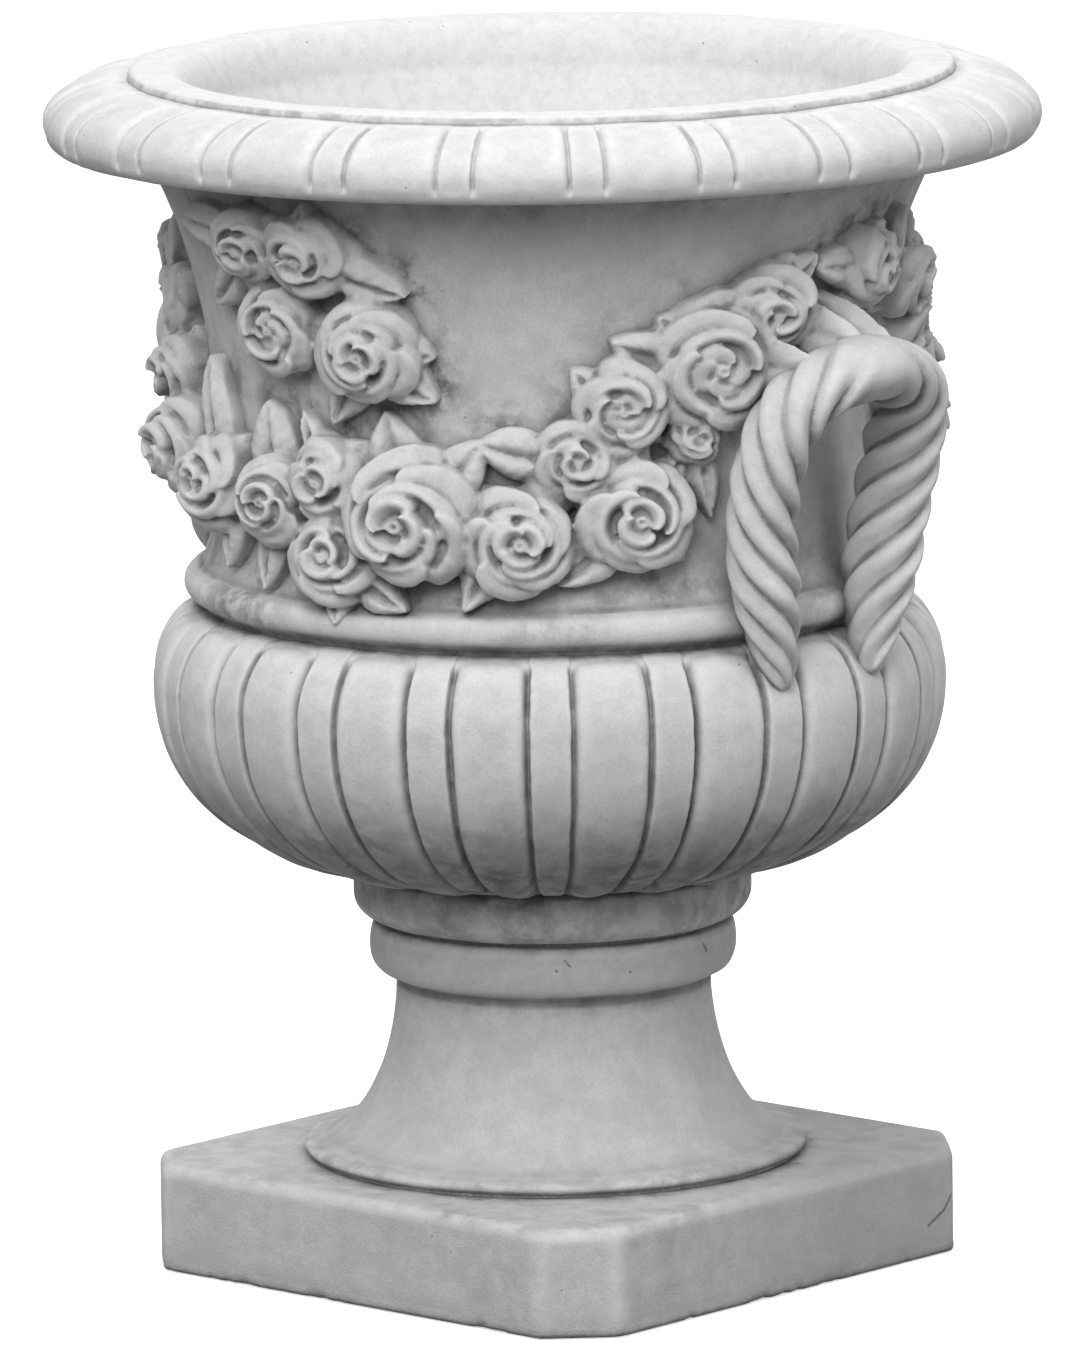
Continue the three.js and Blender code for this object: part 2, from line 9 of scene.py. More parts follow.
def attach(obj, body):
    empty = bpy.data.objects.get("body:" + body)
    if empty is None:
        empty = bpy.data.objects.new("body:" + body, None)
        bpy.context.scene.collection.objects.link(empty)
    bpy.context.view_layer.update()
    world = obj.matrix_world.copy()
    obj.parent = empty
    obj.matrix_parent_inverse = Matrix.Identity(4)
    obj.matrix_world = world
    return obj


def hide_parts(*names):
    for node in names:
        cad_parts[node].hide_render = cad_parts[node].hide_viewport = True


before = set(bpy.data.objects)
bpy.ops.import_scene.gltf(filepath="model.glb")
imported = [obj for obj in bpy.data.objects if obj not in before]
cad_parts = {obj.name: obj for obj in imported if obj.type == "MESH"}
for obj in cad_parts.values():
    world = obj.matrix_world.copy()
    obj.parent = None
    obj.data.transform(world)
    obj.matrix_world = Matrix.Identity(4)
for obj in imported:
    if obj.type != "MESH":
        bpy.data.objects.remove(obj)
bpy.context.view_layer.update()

millimetre = 0.001
bowlTurn = -3  # degrees that the bowl stands off square with the plinth
noiseLattice = np.random.default_rng(11).uniform(-1, 1, (32, 32, 32))


def smoothStep(value, low, high):
    share = np.clip((value - low) / (high - low), 0, 1)
    return share * share * (3 - 2 * share)


def castNoise(points, size, seed=0):
    # smooth noise from -1 to 1, with lumps of about this size in mm
    place = points / size + np.array([3.1, 7.7, 1.3]) * (seed + 1)
    low = np.floor(place).astype(int)
    part = place - low
    part = part * part * (3 - 2 * part)
    total = np.zeros(len(points))
    for corner in np.ndindex(2, 2, 2):
        weight = np.prod(np.where(corner, part, 1 - part), axis=1)
        i, j, k = ((low + corner) % 32).T
        total += weight * noiseLattice[i, j, k]
    return total


def unit(vectors):
    return vectors / np.linalg.norm(vectors, axis=-1, keepdims=True)


def aroundBowl(bearing, height, radius):
    # bearing in degrees from the bowl's front, counted toward its right-hand handle
    turn = np.radians(bearing + bowlTurn)
    return np.stack(np.broadcast_arrays(radius * np.sin(turn), -radius * np.cos(turn), height), axis=-1)


def halfTurned(points):
    return points * np.array([-1, -1, 1])


def closedGrid(rows, columns):
    # faces of a grid of points that closes on itself both ways
    here = np.arange(rows * columns).reshape(rows, columns)
    right = np.roll(here, -1, axis=1)
    below = np.roll(here, -1, axis=0)
    corner = np.roll(right, -1, axis=0)
    return np.stack([here, right, corner, below], axis=-1).reshape(-1, 4)


def openTube(rows, sides):
    # faces of a tube that is open at both ends, and its grid of point numbers
    here = np.arange(rows * sides).reshape(rows, sides)
    right = np.roll(here, -1, axis=1)
    return here, np.stack([here[:-1], right[:-1], right[1:], here[1:]], axis=-1).reshape(-1, 4)


def facingOut(points, faces):
    a, b, c = (points[faces[:, i]] for i in range(3))
    volume = np.einsum("ij,ij->", a, np.cross(b, c))
    if faces.shape[1] == 4:
        volume += np.einsum("ij,ij->", a, np.cross(c, points[faces[:, 3]]))
    return faces if volume > 0 else faces[:, ::-1]


def newMesh(name, points, faces):
    mesh = bpy.data.meshes.new(name)
    mesh.from_pydata(points * millimetre, [], facingOut(points, faces))
    mesh.shade_smooth()
    return mesh


def newObject(name, data):
    holder = bpy.data.objects.new(name, data)
    bpy.context.scene.collection.objects.link(holder)
    return holder


def newPiece(name, mesh, material, node):
    piece = newObject(name, mesh)
    mesh.materials.clear()
    mesh.materials.append(material)
    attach(piece, "root")
    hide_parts(node)


def readVectors(mesh, name):
    values = np.empty(len(mesh.vertices) * 3, dtype=np.float32)
    mesh.vertices.foreach_get(name, values)
    return values.reshape(-1, 3)


def meshPoints(mesh):
    return readVectors(mesh, "co").astype(float) / millimetre


def movePoints(mesh, points):
    mesh.vertices.foreach_set("co", (points * millimetre).astype(np.float32).ravel())
    mesh.update()


def appliedModifiers(holder):
    # the mesh as its modifiers leave it
    graph = bpy.context.evaluated_depsgraph_get()
    mesh = bpy.data.meshes.new_from_object(holder.evaluated_get(graph))
    before = holder.data
    bpy.data.objects.remove(holder)
    bpy.data.meshes.remove(before)
    mesh.shade_smooth()
    return mesh


def storeMask(mesh, name, values):
    mask = mesh.attributes.get(name) or mesh.attributes.new(name, "FLOAT", "POINT")
    mask.data.foreach_set("value", np.asarray(values, dtype=np.float32))


def markHollows(mesh, reach=40):
    # how deep each point lies in a crease (above 0) or how far it stands on an edge (below 0),
    # from its distance to the points around it; reach counts the steps taken outward
    points = meshPoints(mesh)
    normals = readVectors(mesh, "normal")
    edges = np.empty(len(mesh.edges) * 2, dtype=np.int32)
    mesh.edges.foreach_get("vertices", edges)
    first, second = edges.reshape(-1, 2).T
    ways = np.bincount(first, minlength=len(points)) + np.bincount(second, minlength=len(points))

    def neighbourMean(values):
        total = np.bincount(first, values[second], len(points))
        total += np.bincount(second, values[first], len(points))
        return total / np.maximum(ways, 1)

    spread = points.copy()
    depth = np.zeros(len(points))
    for turn in range(1, reach + 1):
        spread = np.stack([neighbourMean(spread[:, axis]) for axis in range(3)], axis=1)
        if turn in (2, 8, reach):
            share = 0.4 if turn == reach else 1.0
            depth += share * np.einsum("ij,ij->i", spread - points, normals)
    depth = neighbourMean(depth)
    storeMask(mesh, "hollow", depth)
    return depth


def distanceAlong(path):
    return np.r_[0, np.cumsum(np.linalg.norm(np.diff(path, axis=0), axis=1))]


def softened(corners, along, count, step, softness):
    # a closed outline through the corners, rounded as the edges of a worn casting are
    place = np.arange(count) * along[-1] / count
    keep = np.exp(-2 * (np.pi * np.fft.rfftfreq(count, d=step) * softness) ** 2)
    parts = [np.interp(place, along, corners[:, i]) for i in (0, 1)]
    return [np.fft.irfft(np.fft.rfft(part) * keep, count) for part in parts]


def spacedOutline(corners, softness):
    # corners are (radius, height, spacing wanted from here on); the closed outline comes back
    # softened and spaced by those wishes
    corners = np.array(corners + corners[:1], dtype=float)
    along = distanceAlong(corners[:, :2])
    fine = 0.4
    count = int(along[-1] / fine)
    curve = softened(corners, along, count, fine, softness)
    place = np.arange(count) * along[-1] / count
    which = np.clip(np.searchsorted(along, place, side="right") - 1, 0, len(corners) - 2)
    wanted = np.r_[0, np.cumsum(fine / corners[which, 2])]
    rows = int(round(wanted[-1]))
    picked = np.interp(np.arange(rows) * wanted[-1] / rows, wanted[:-1], np.arange(count))
    return np.stack([np.interp(picked, np.arange(count), part) for part in curve], axis=1)


def outlineNormals(outline):
    ahead = np.roll(outline, -1, axis=0) - np.roll(outline, 1, axis=0)
    ahead /= np.maximum(np.hypot(*ahead.T), 1e-9)[:, None]
    return np.stack([ahead[:, 1], -ahead[:, 0]], axis=1)


def nodeGroup(name, inputs, outputs):
    group = bpy.data.node_groups.new(name, "ShaderNodeTree")
    for label, kind, value in inputs:
        socket = group.interface.new_socket(name=label, in_out="INPUT", socket_type=kind)
        socket.default_value = value
    for label, kind in outputs:
        group.interface.new_socket(name=label, in_out="OUTPUT", socket_type=kind)
    start = group.nodes.new("NodeGroupInput")
    end = group.nodes.new("NodeGroupOutput")
    return group, start.outputs, end.inputs


def setInputs(tree, node, inputs):
    for label, value in inputs.items():
        if isinstance(value, bpy.types.NodeSocket):
            tree.links.new(value, node.inputs[label])
        else:
            node.inputs[label].default_value = value


def addNode(tree, kind, inputs=None, **settings):
    node = tree.nodes.new(kind)
    for label, value in settings.items():
        setattr(node, label, value)
    setInputs(tree, node, inputs or {})
    return node


def mathOf(tree, operation, first, second, clamp=False):
    node = addNode(tree, "ShaderNodeMath", {0: first, 1: second}, operation=operation, use_clamp=clamp)
    return node.outputs[0]


def mixOf(tree, share, first, second):
    return addNode(tree, "ShaderNodeMix", {0: share, 6: first, 7: second}, data_type="RGBA").outputs[2]


def objectPlace(tree):
    return addNode(tree, "ShaderNodeTexCoord").outputs["Object"]


def maskOf(tree, name):
    return addNode(tree, "ShaderNodeAttribute", attribute_name=name).outputs["Fac"]


def placeGroup(tree, group, inputs):
    return addNode(tree, "ShaderNodeGroup", inputs, node_tree=group).outputs


def grey(level):
    return (level, level, level, 1.0)


def vectorOf(tree, operation, first, second=(0, 0, 0)):
    inputs = {0: first, "Scale" if operation == "SCALE" else 1: second}
    node = addNode(tree, "ShaderNodeVectorMath", inputs, operation=operation)
    return node.outputs["Value" if operation in ("LENGTH", "DOT_PRODUCT") else "Vector"]


def rangeOf(tree, value, low, high, toLow=0.0, toHigh=1.0):
    settings = {"Value": value, "From Min": low, "From Max": high, "To Min": toLow, "To Max": toHigh}
    return addNode(tree, "ShaderNodeMapRange", settings, interpolation_type="SMOOTHSTEP").outputs["Result"]


def noiseOf(tree, place, scale, detail=2.0, roughness=0.5):
    settings = {"Vector": place, "Scale": scale, "Detail": detail, "Roughness": roughness}
    return addNode(tree, "ShaderNodeTexNoise", settings).outputs["Fac"]


def bumpOf(tree, height, strength, depth):
    settings = {"Height": height, "Strength": strength, "Distance": depth}
    return addNode(tree, "ShaderNodeBump", settings).outputs["Normal"]


def makeGrainGroup():
    # fine sand in the face of the casting, and slow clouds of tone across it
    inputs = [("Sand Size", "NodeSocketFloat", 0.0008), ("Cloud Size", "NodeSocketFloat", 0.03)]
    outputs = [("Sand", "NodeSocketFloat"), ("Clouds", "NodeSocketFloat"), ("Height", "NodeSocketFloat")]
    group, given, result = nodeGroup("stoneGrain", inputs, outputs)
    place = objectPlace(group)
    sandScale = mathOf(group, "DIVIDE", 1.0, given["Sand Size"])
    cloudScale = mathOf(group, "DIVIDE", 1.0, given["Cloud Size"])
    sand = noiseOf(group, place, sandScale, 2.0, 0.6)
    clouds = noiseOf(group, place, cloudScale, 4.0, 0.6)
    blotches = noiseOf(group, place, mathOf(group, "MULTIPLY", cloudScale, 4.0), 3.0, 0.6)
    group.links.new(sand, result["Sand"])
    for name, first, firstShare, blotchShare in (("Clouds", clouds, 0.6, 0.4), ("Height", sand, 0.6, 0.8)):
        part = mathOf(group, "MULTIPLY", first, firstShare)
        blotchPart = mathOf(group, "MULTIPLY", blotches, blotchShare)
        group.links.new(mathOf(group, "ADD", part, blotchPart), result[name])
    return group


def makePoreGroup():
    # scattered air holes, as small dark pits
    inputs = [("Spacing", "NodeSocketFloat", 0.012), ("Share", "NodeSocketFloat", 0.3)]
    group, given, result = nodeGroup("airHoles", inputs, [("Pit", "NodeSocketFloat")])
    place = objectPlace(group)
    scale = mathOf(group, "DIVIDE", 1.0, given["Spacing"])
    cells = addNode(group, "ShaderNodeTexVoronoi", {"Vector": place, "Scale": scale})
    chosen = addNode(group, "ShaderNodeSeparateColor", {"Color": cells.outputs["Color"]}).outputs["Red"]
    rare = mathOf(group, "LESS_THAN", chosen, given["Share"])
    spot = rangeOf(group, cells.outputs["Distance"], 0.02, 0.06, 1.0, 0.0)
    group.links.new(mathOf(group, "MULTIPLY", rare, spot), result["Pit"])
    return group


def makeGrimeAndShadeGroup():
    # dirt held in creases and painted shade where nearby surfaces shelter a point, broken up by patches; the
    # stain input adds its own dirt and painted shade
    inputs = [("Crease Depth", "NodeSocketFloat", 1.0), ("Stain And Shade", "NodeSocketFloat", 0.0)]
    group, given, result = nodeGroup("settledGrimeAndShade", inputs, [("Dirt And Shade", "NodeSocketFloat")])
    place = objectPlace(group)
    hollow = maskOf(group, "hollow")
    patches = noiseOf(group, place, 70.0, 5.0, 0.65)
    crease = rangeOf(group, mathOf(group, "DIVIDE", hollow, given["Crease Depth"]), 0.05, 1.0)
    # painted shade: ambient occlusion darkens the colour wherever nearby surfaces shelter a point
    occlusionShade = addNode(group, "ShaderNodeAmbientOcclusion", {"Distance": 0.02}, samples=8).outputs["AO"]
    crease = mathOf(group, "MAXIMUM", crease, rangeOf(group, occlusionShade, 0.25, 0.95, 1.0, 0.0))
    broken = mathOf(group, "MULTIPLY", crease, rangeOf(group, patches, 0.25, 0.7, 0.55, 1.0))
    stainAndShade = mathOf(group, "MULTIPLY", given["Stain And Shade"], rangeOf(group, patches, 0.38, 0.62, 0.15, 1.0))
    group.links.new(mathOf(group, "MAXIMUM", broken, stainAndShade), result["Dirt And Shade"])
    return group


def makeScratchGroup():
    # one knock or scratch: a ragged dark line between two points
    inputs = [(end, "NodeSocketVector", (0, 0, 0)) for end in ("From", "To")]
    inputs.append(("Width", "NodeSocketFloat", 0.001))
    group, given, result = nodeGroup("scratch", inputs, [("Mark", "NodeSocketFloat")])
    place = objectPlace(group)
    wobble = addNode(group, "ShaderNodeTexNoise", {"Vector": place, "Scale": 700.0}).outputs["Color"]
    wobble = vectorOf(group, "SCALE", vectorOf(group, "SUBTRACT", wobble, (0.5, 0.5, 0.5)), 0.0012)
    away = vectorOf(group, "SUBTRACT", vectorOf(group, "ADD", place, wobble), given["From"])
    span = vectorOf(group, "SUBTRACT", given["To"], given["From"])
    reached, whole = (vectorOf(group, "DOT_PRODUCT", part, span) for part in (away, span))
    share = mathOf(group, "DIVIDE", reached, whole, clamp=True)
    gap = vectorOf(group, "LENGTH", vectorOf(group, "SUBTRACT", away, vectorOf(group, "SCALE", span, share)))
    gap = mathOf(group, "DIVIDE", gap, given["Width"])
    group.links.new(rangeOf(group, gap, 0.35, 0.75, 1.0, 0.0), result["Mark"])
    return group


def makeWearGroup():
    # edges rubbed paler by rain and handling; inside the bowl, where the hollow mask is pushed below zero,
    # the same paler tone is painted light
    inputs = [("Edge Height", "NodeSocketFloat", 1.0)]
    group, given, result = nodeGroup("wornEdges", inputs, [("Wear", "NodeSocketFloat")])
    place = objectPlace(group)
    hollow = maskOf(group, "hollow")
    edge = mathOf(group, "DIVIDE", mathOf(group, "MULTIPLY", hollow, -1.0), given["Edge Height"])
    patches = noiseOf(group, place, 160.0, 3.0, 0.6)
    broken = rangeOf(group, patches, 0.3, 0.65, 0.4, 1.0)
    group.links.new(mathOf(group, "MULTIPLY", rangeOf(group, edge, 0.1, 1.2), broken), result["Wear"])
    return group


grainGroup = makeGrainGroup()
poreGroup = makePoreGroup()
grimeAndShadeGroup = makeGrimeAndShadeGroup()
wearGroup = makeWearGroup()
scratchGroup = makeScratchGroup()

stone = {
    # the paintedShade tone darkens painted shade; the dirtAndShade tone darkens dirt and painted shade
    "pale": 0.75, "cloudy": 0.65, "worn": 0.84, "paintedShade": 0.36, "dirtAndShade": 0.13, "pit": 0.15,  # tones
    "sandSize": 0.0012, "cloudSize": 0.035, "poreSpacing": 0.011, "poreShare": 0.22,
    "sandTone": 0.6, "sandShare": 0.24, "wornShare": 0.6, "pitShare": 0.7, "pitDepth": 2.2,
    "smoothest": 0.8, "roughest": 0.93, "gloss": 0.3, "bump": 0.6, "bumpDepth": 0.0006,
}


def castStone(name, creaseDepth, edgeHeight, dirtAndShadeShare, masks=(), tone=1.0, scratches=()):
    # creaseDepth and edgeHeight say how deep a hollow must be to hold dirt and how far an edge
    # must stand out to be rubbed; masks names the masks, beside hollow, that the mesh carries
    material = bpy.data.materials.new(name)
    material.use_nodes = True
    tree = material.node_tree
    grain = placeGroup(tree, grainGroup, {"Sand Size": stone["sandSize"], "Cloud Size": stone["cloudSize"]})
    holes = placeGroup(tree, poreGroup, {"Spacing": stone["poreSpacing"], "Share": stone["poreShare"]})["Pit"]
    for start, end, width in scratches:
        ends = {"From": Vector(start) * millimetre, "To": Vector(end) * millimetre}
        mark = placeGroup(tree, scratchGroup, {**ends, "Width": width * millimetre})["Mark"]
        holes = mathOf(tree, "MAXIMUM", holes, mark)
    stainAndShade = maskOf(tree, "stainAndShade") if "stainAndShade" in masks else 0.0
    dirtAndShade = placeGroup(tree, grimeAndShadeGroup, {"Crease Depth": creaseDepth, "Stain And Shade": stainAndShade})["Dirt And Shade"]
    wear = placeGroup(tree, wearGroup, {"Edge Height": edgeHeight})["Wear"]
    cloudShare = rangeOf(tree, grain["Clouds"], 0.35, 0.65)
    colour = mixOf(tree, cloudShare, grey(stone["cloudy"] * tone), grey(stone["pale"] * tone))
    sandShare = rangeOf(tree, grain["Sand"], 0.35, 0.7, 0.0, stone["sandShare"])
    layers = [(sandShare, stone["cloudy"] * tone * stone["sandTone"])]
    layers.append((mathOf(tree, "MULTIPLY", wear, stone["wornShare"]), stone["worn"] * tone))
    # painted shade, where the mesh carries that mask
    if "paintedShade" in masks:
        layers.append((maskOf(tree, "paintedShade"), stone["paintedShade"] * tone))
    # dirt in creases, with painted shade from ambient occlusion and from the stain mask
    layers.append((mathOf(tree, "MULTIPLY", dirtAndShade, dirtAndShadeShare), stone["dirtAndShade"]))
    layers.append((mathOf(tree, "MULTIPLY", holes, stone["pitShare"]), stone["pit"]))
    for share, level in layers:
        colour = mixOf(tree, share, colour, grey(level))
    height = mathOf(tree, "SUBTRACT", grain["Height"], mathOf(tree, "MULTIPLY", holes, stone["pitDepth"]))
    height = mathOf(tree, "ADD", height, mathOf(tree, "MULTIPLY", dirtAndShade, grain["Sand"]))
    finish = {
        "Base Color": colour, "Specular IOR Level": stone["gloss"],
        "Roughness": rangeOf(tree, grain["Clouds"], 0.3, 0.7, stone["roughest"], stone["smoothest"]),
        "Normal": bumpOf(tree, height, stone["bump"], stone["bumpDepth"]),
    }
    setInputs(tree, tree.nodes["Principled BSDF"], finish)
    return material


bowl = {
    "base": 174, "seatRadius": 88,
    "ringRadius": 99.3, "ringHeight": 26.5,
    "bellyBase": 200.5, "bellyLevel": 296, "bellyTop": 332,
    "bellyRadius": 196.5, "bellyNeck": 176, "bellyFullness": 2.2, "bellyTuck": 0.66, "shoulderTuck": 0.91,
    "bandRadius": 180.7, "bandBase": 337, "bandTop": 352,
    "waistRadius": 164.5, "waistLevel": 410, "bellFoot": 8.5, "bellFlare": 33.5,
    "rimBase": 562, "rimWidest": 574, "rimTop": 596, "top": 600,
    "rimRadius": 246, "lipRadius": 204, "mouthRadius": 172, "rollWidth": 14, "rollDrop": 24,
    "wall": 26, "floor": 230, "drainRadius": 16.3,
    "columns": 400, "faceSpacing": 2.6, "hiddenSpacing": 12, "cornerSoftness": 0.9,
}
bellyFlutes = {
    "count": 20, "ribWidth": 6.4, "firstRib": 9, "columnsEach": 48,
    "grooveDepth": 4.0, "ribSide": 0.9, "lobeSide": 2.6, "lobeStand": 1.9, "lobeRoll": 3.2, "lobeCorner": 9,
    "ribSink": 0.3, "topGap": 3, "topFade": 7, "bottomGap": -4, "bottomFade": 14, "wander": 0.5,
}
rimFlutes = {
    "count": 24, "ribWidth": 4.1, "firstRib": 5, "columnsEach": 40,
    "grooveDepth": 2.6, "ribSide": 0.8, "lobeSide": 2.0, "lobeStand": 0.7, "lobeRoll": 2.6, "lobeCorner": 9,
    "ribSink": 0.6, "topGap": 3.5, "topFade": 3, "bottomGap": 5, "bottomFade": 4, "wander": 0.35,
}


def swell(distance, span, wide, narrow, core, fullness):
    drawnIn = ((narrow - core) / (wide - core)) ** fullness
    reach = span / (1 - drawnIn) ** (1 / fullness)
    level = (1 - (distance / reach) ** fullness) ** (1 / fullness)
    return core + (wide - core) * level


def bellyRadiusAt(height):
    b = bowl
    if height > b["bellyLevel"]:
        rise = b["bellyTop"] - b["bellyLevel"]
        core = b["bellyNeck"] * b["shoulderTuck"]
        return swell(height - b["bellyLevel"], rise, b["bellyRadius"], b["bellyNeck"], core, 2)
    drop = b["bellyLevel"] - b["bellyBase"]
    core = b["ringRadius"] * b["bellyTuck"]
    return swell(b["bellyLevel"] - height, drop, b["bellyRadius"], b["ringRadius"], core, b["bellyFullness"])


def hollowRadiusAt(height):
    b = bowl
    drop = b["bellyLevel"] - b["floor"]
    foot = b["ringRadius"] - b["wall"]
    core = foot * b["bellyTuck"]
    return swell(b["bellyLevel"] - height, drop, b["bellyRadius"] - b["wall"], foot, core, b["bellyFullness"])


def wallRadiusAt(height):
    b = bowl
    fall = np.clip((b["waistLevel"] - height) / (b["waistLevel"] - b["bandTop"]), 0, None)
    rise = np.clip((height - b["waistLevel"]) / (b["rimBase"] - b["waistLevel"]), 0, None)
    return b["waistRadius"] + b["bellFoot"] * fall ** 4 + b["bellFlare"] * rise ** 2.5


def turnedPoints(outline, columns, lumps):
    # an outline turned about the axis, with the slight waviness of a hand-finished casting:
    # lumps are pairs of their size and their depth
    bearings = np.arange(columns) * 360 / columns
    points = aroundBowl(bearings, outline[:, 1:], outline[:, :1]).reshape(-1, 3)
    normals = outlineNormals(outline)
    outward = aroundBowl(bearings, normals[:, 1:], normals[:, :1]).reshape(-1, 3)
    wave = sum(depth * castNoise(points, size, seed) for seed, (size, depth) in enumerate(lumps))
    return points + outward * wave[:, None]


def bandCorners():
    b = bowl
    height = b["bandTop"] - b["bandBase"]
    turns = np.radians(np.linspace(-80, 75, 9))
    middle = b["bandBase"] + height / 2
    bulge = [(b["bandRadius"] - 6 + 6 * math.cos(t), middle + height / 2 * math.sin(t), 1.4) for t in turns]
    return [(b["bellyNeck"] - 6, b["bandBase"] - 4, 1.6), *bulge]


def coreCorners():
    b = bowl
    fine, hidden = b["faceSpacing"], b["hiddenSpacing"]
    ringTurns = np.radians(np.linspace(5, 90, 7))
    ringRound = 0.45 * b["ringHeight"]
    ring = [(b["ringRadius"] - ringRound * (1 - math.sin(t)), b["base"] + ringRound * (1 - math.cos(t)), 1.6)
            for t in ringTurns]
    wallLevels = np.linspace(b["bandTop"] + 2, b["rimBase"] + 4, 40)
    wall = [(wallRadiusAt(z), z, fine) for z in wallLevels]
    rollTurns = np.radians(np.linspace(0, 90, 9))
    mouthRoll = [(b["mouthRadius"] + b["rollWidth"] * (1 - math.sin(t)),
                  b["top"] - b["rollDrop"] * (1 - math.cos(t)), 1.6) for t in rollTurns]
    basin = [(hollowRadiusAt(z), z, 6) for z in np.linspace(b["floor"], b["bellyLevel"], 9)]
    throat = [(wallRadiusAt(z) - b["wall"], z, 5) for z in np.linspace(b["bandTop"], 510, 7)]
    return [
        (b["drainRadius"], b["base"], hidden), (b["seatRadius"], b["base"], 2.5), *ring,
        (b["ringRadius"], b["bellyBase"] - 2, 1.4), (b["ringRadius"] - 8, b["bellyBase"] + 3, hidden),
        (b["bellyRadius"] - 14, b["bellyLevel"], hidden), *bandCorners(), *wall,
        (b["lipRadius"] - 8, b["rimWidest"], hidden), (b["lipRadius"] - 1, b["rimTop"] - 4, 1.1),
        (b["lipRadius"] + 0.3, b["rimTop"] + 0.5, 0.8), (b["lipRadius"] - 0.8, b["top"] - 1, 0.8),
        (b["lipRadius"] - 3.5, b["top"], 2.4), *mouthRoll,
        *throat[::-1], *basin[::-1], (b["drainRadius"], b["floor"], 8),
    ]


def clusteredBearings(flutes):
    # columns of points, set up to six times closer in the grooves beside each rib
    pitch = 360 / flutes["count"]
    grooveHalf = 0.55
    turn = np.linspace(-pitch / 2, pitch / 2, 2001)
    nearGroove = np.exp(-((np.abs(turn) - flutes["ribWidth"] / 2) / grooveHalf) ** 2)
    reach = np.cumsum(1 + 5 * nearGroove)
    reach = (reach - reach[0]) / (reach[-1] - reach[0])
    each = np.interp(np.arange(flutes["columnsEach"]) / flutes["columnsEach"], reach, turn)
    repeats = np.arange(flutes["count"])[:, None] * pitch
    return (flutes["firstRib"] + repeats + each).ravel(), np.tile(each, flutes["count"])


def flutedPoints(face, back, flutes, seed):
    # the face is turned into ribs and lobes with grooves between them; the back stays plain
    bearings, turns = clusteredBearings(flutes)
    outline = np.array(face + back, dtype=float)
    rows = len(face)
    points = aroundBowl(bearings, outline[:, 1:], outline[:, :1])
    flat = points[:rows].reshape(-1, 3)

    def lumps(size, more):
        return castNoise(flat, size, seed + more).reshape(rows, len(bearings))

    wander = flutes["wander"] * lumps(22, 0)
    ragged = lumps(2.6, 1)
    radius = outline[:rows, :1]
    ribHalf = math.radians(flutes["ribWidth"] / 2) * radius
    aside = np.abs(np.radians(turns)) * radius - ribHalf + wander + 0.22 * ragged
    along = distanceAlong(outline[:rows])[:, None]
    toBottom = along - flutes["bottomGap"] + 0.8 * wander
    toTop = along[-1] - along - flutes["topGap"] + 0.8 * wander
    corner, stand = flutes["lobeCorner"], flutes["lobeStand"]
    intoLobe = corner - np.hypot(np.maximum(corner - aside, 0), np.maximum(corner - toTop, 0))
    lobe = stand * (1 - np.exp(-np.maximum(intoLobe, 0) / flutes["lobeRoll"]))
    lobe += 0.5 * stand * smoothStep(aside, 0, math.radians(180 / flutes["count"]) * radius)
    fade = smoothStep(toBottom, 0, flutes["bottomFade"])
    grooveWidth = np.where(aside < 0, flutes["ribSide"], flutes["lobeSide"])
    groove = flutes["grooveDepth"] * (1 + 0.25 * lumps(34, 2) + 0.1 * ragged)
    groove = groove * np.exp(-(aside / grooveWidth) ** 2)
    shift = np.where(aside < 0, -flutes["ribSink"], lobe - 0.6 * stand) * fade
    shift -= groove * fade * smoothStep(toTop, 0, flutes["topFade"])
    shift += 0.25 * lumps(28, 3) + 0.12 * lumps(7, 4)
    normals = outlineNormals(outline)[:rows]
    points[:rows] += aroundBowl(bearings, normals[:, 1:], normals[:, :1]) * shift[:, :, None]
    return points.reshape(-1, 3), closedGrid(len(outline), len(bearings))


def bellyFace():
    low = bowl["bellyBase"] + (bowl["bellyLevel"] - bowl["bellyBase"]) * np.linspace(0, 1, 62) ** 1.35
    high = np.linspace(bowl["bellyLevel"], bowl["bellyTop"], 30)[1:]
    return [(bellyRadiusAt(z), z) for z in np.r_[low, high]]


def rimFace():
    b = bowl
    under = [(r, b["rimBase"] - 1.0 * math.sin(math.pi * i / 9)) for i, r in
             enumerate(np.linspace(wallRadiusAt(b["rimBase"]) - 3, b["rimRadius"] - 9, 10))]
    edgeTurns = np.radians(np.linspace(-78, 0, 10)[1:])
    edge = [(b["rimRadius"] - 8 + 8 * math.cos(t), b["rimWidest"] + 12 * math.sin(t)) for t in edgeTurns]
    topTurns = np.radians(np.linspace(0, 90, 36)[1:])
    span = b["rimRadius"] - b["lipRadius"]
    rise = b["rimTop"] - b["rimWidest"]
    top = [(b["lipRadius"] + span * math.cos(t), b["rimWidest"] + rise * math.sin(t)) for t in topTurns]
    return under, edge + top


def bearingOf(points):
    return np.degrees(np.arctan2(points[:, 0], -points[:, 1])) - bowlTurn


def fromGarland(points):
    # distance along the wall, in mm, from each point to the nearest rose or leaf
    nearest = np.full(len(points), 99.0)
    for turned in (points, halfTurned(points)):
        bearing = bearingOf(turned)
        for (at, rise), radius, _, leaves in swagRoses + sprayRoses:
            aside = np.radians((bearing - at + 180) % 360 - 180) * wallRadiusAt(points[:, 2])
            above = points[:, 2] - bowl["bandTop"] - rise
            nearest = np.minimum(nearest, np.hypot(aside, above) - 1.05 * radius)
            for pointing, reach, width in leaves:
                turn = math.radians(pointing)
                along = np.clip(aside * math.cos(turn) + above * math.sin(turn), 0, 0.8 * reach)
                apart = np.hypot(aside - along * math.cos(turn), above - along * math.sin(turn))
                nearest = np.minimum(nearest, apart - 0.35 * width)
    return nearest


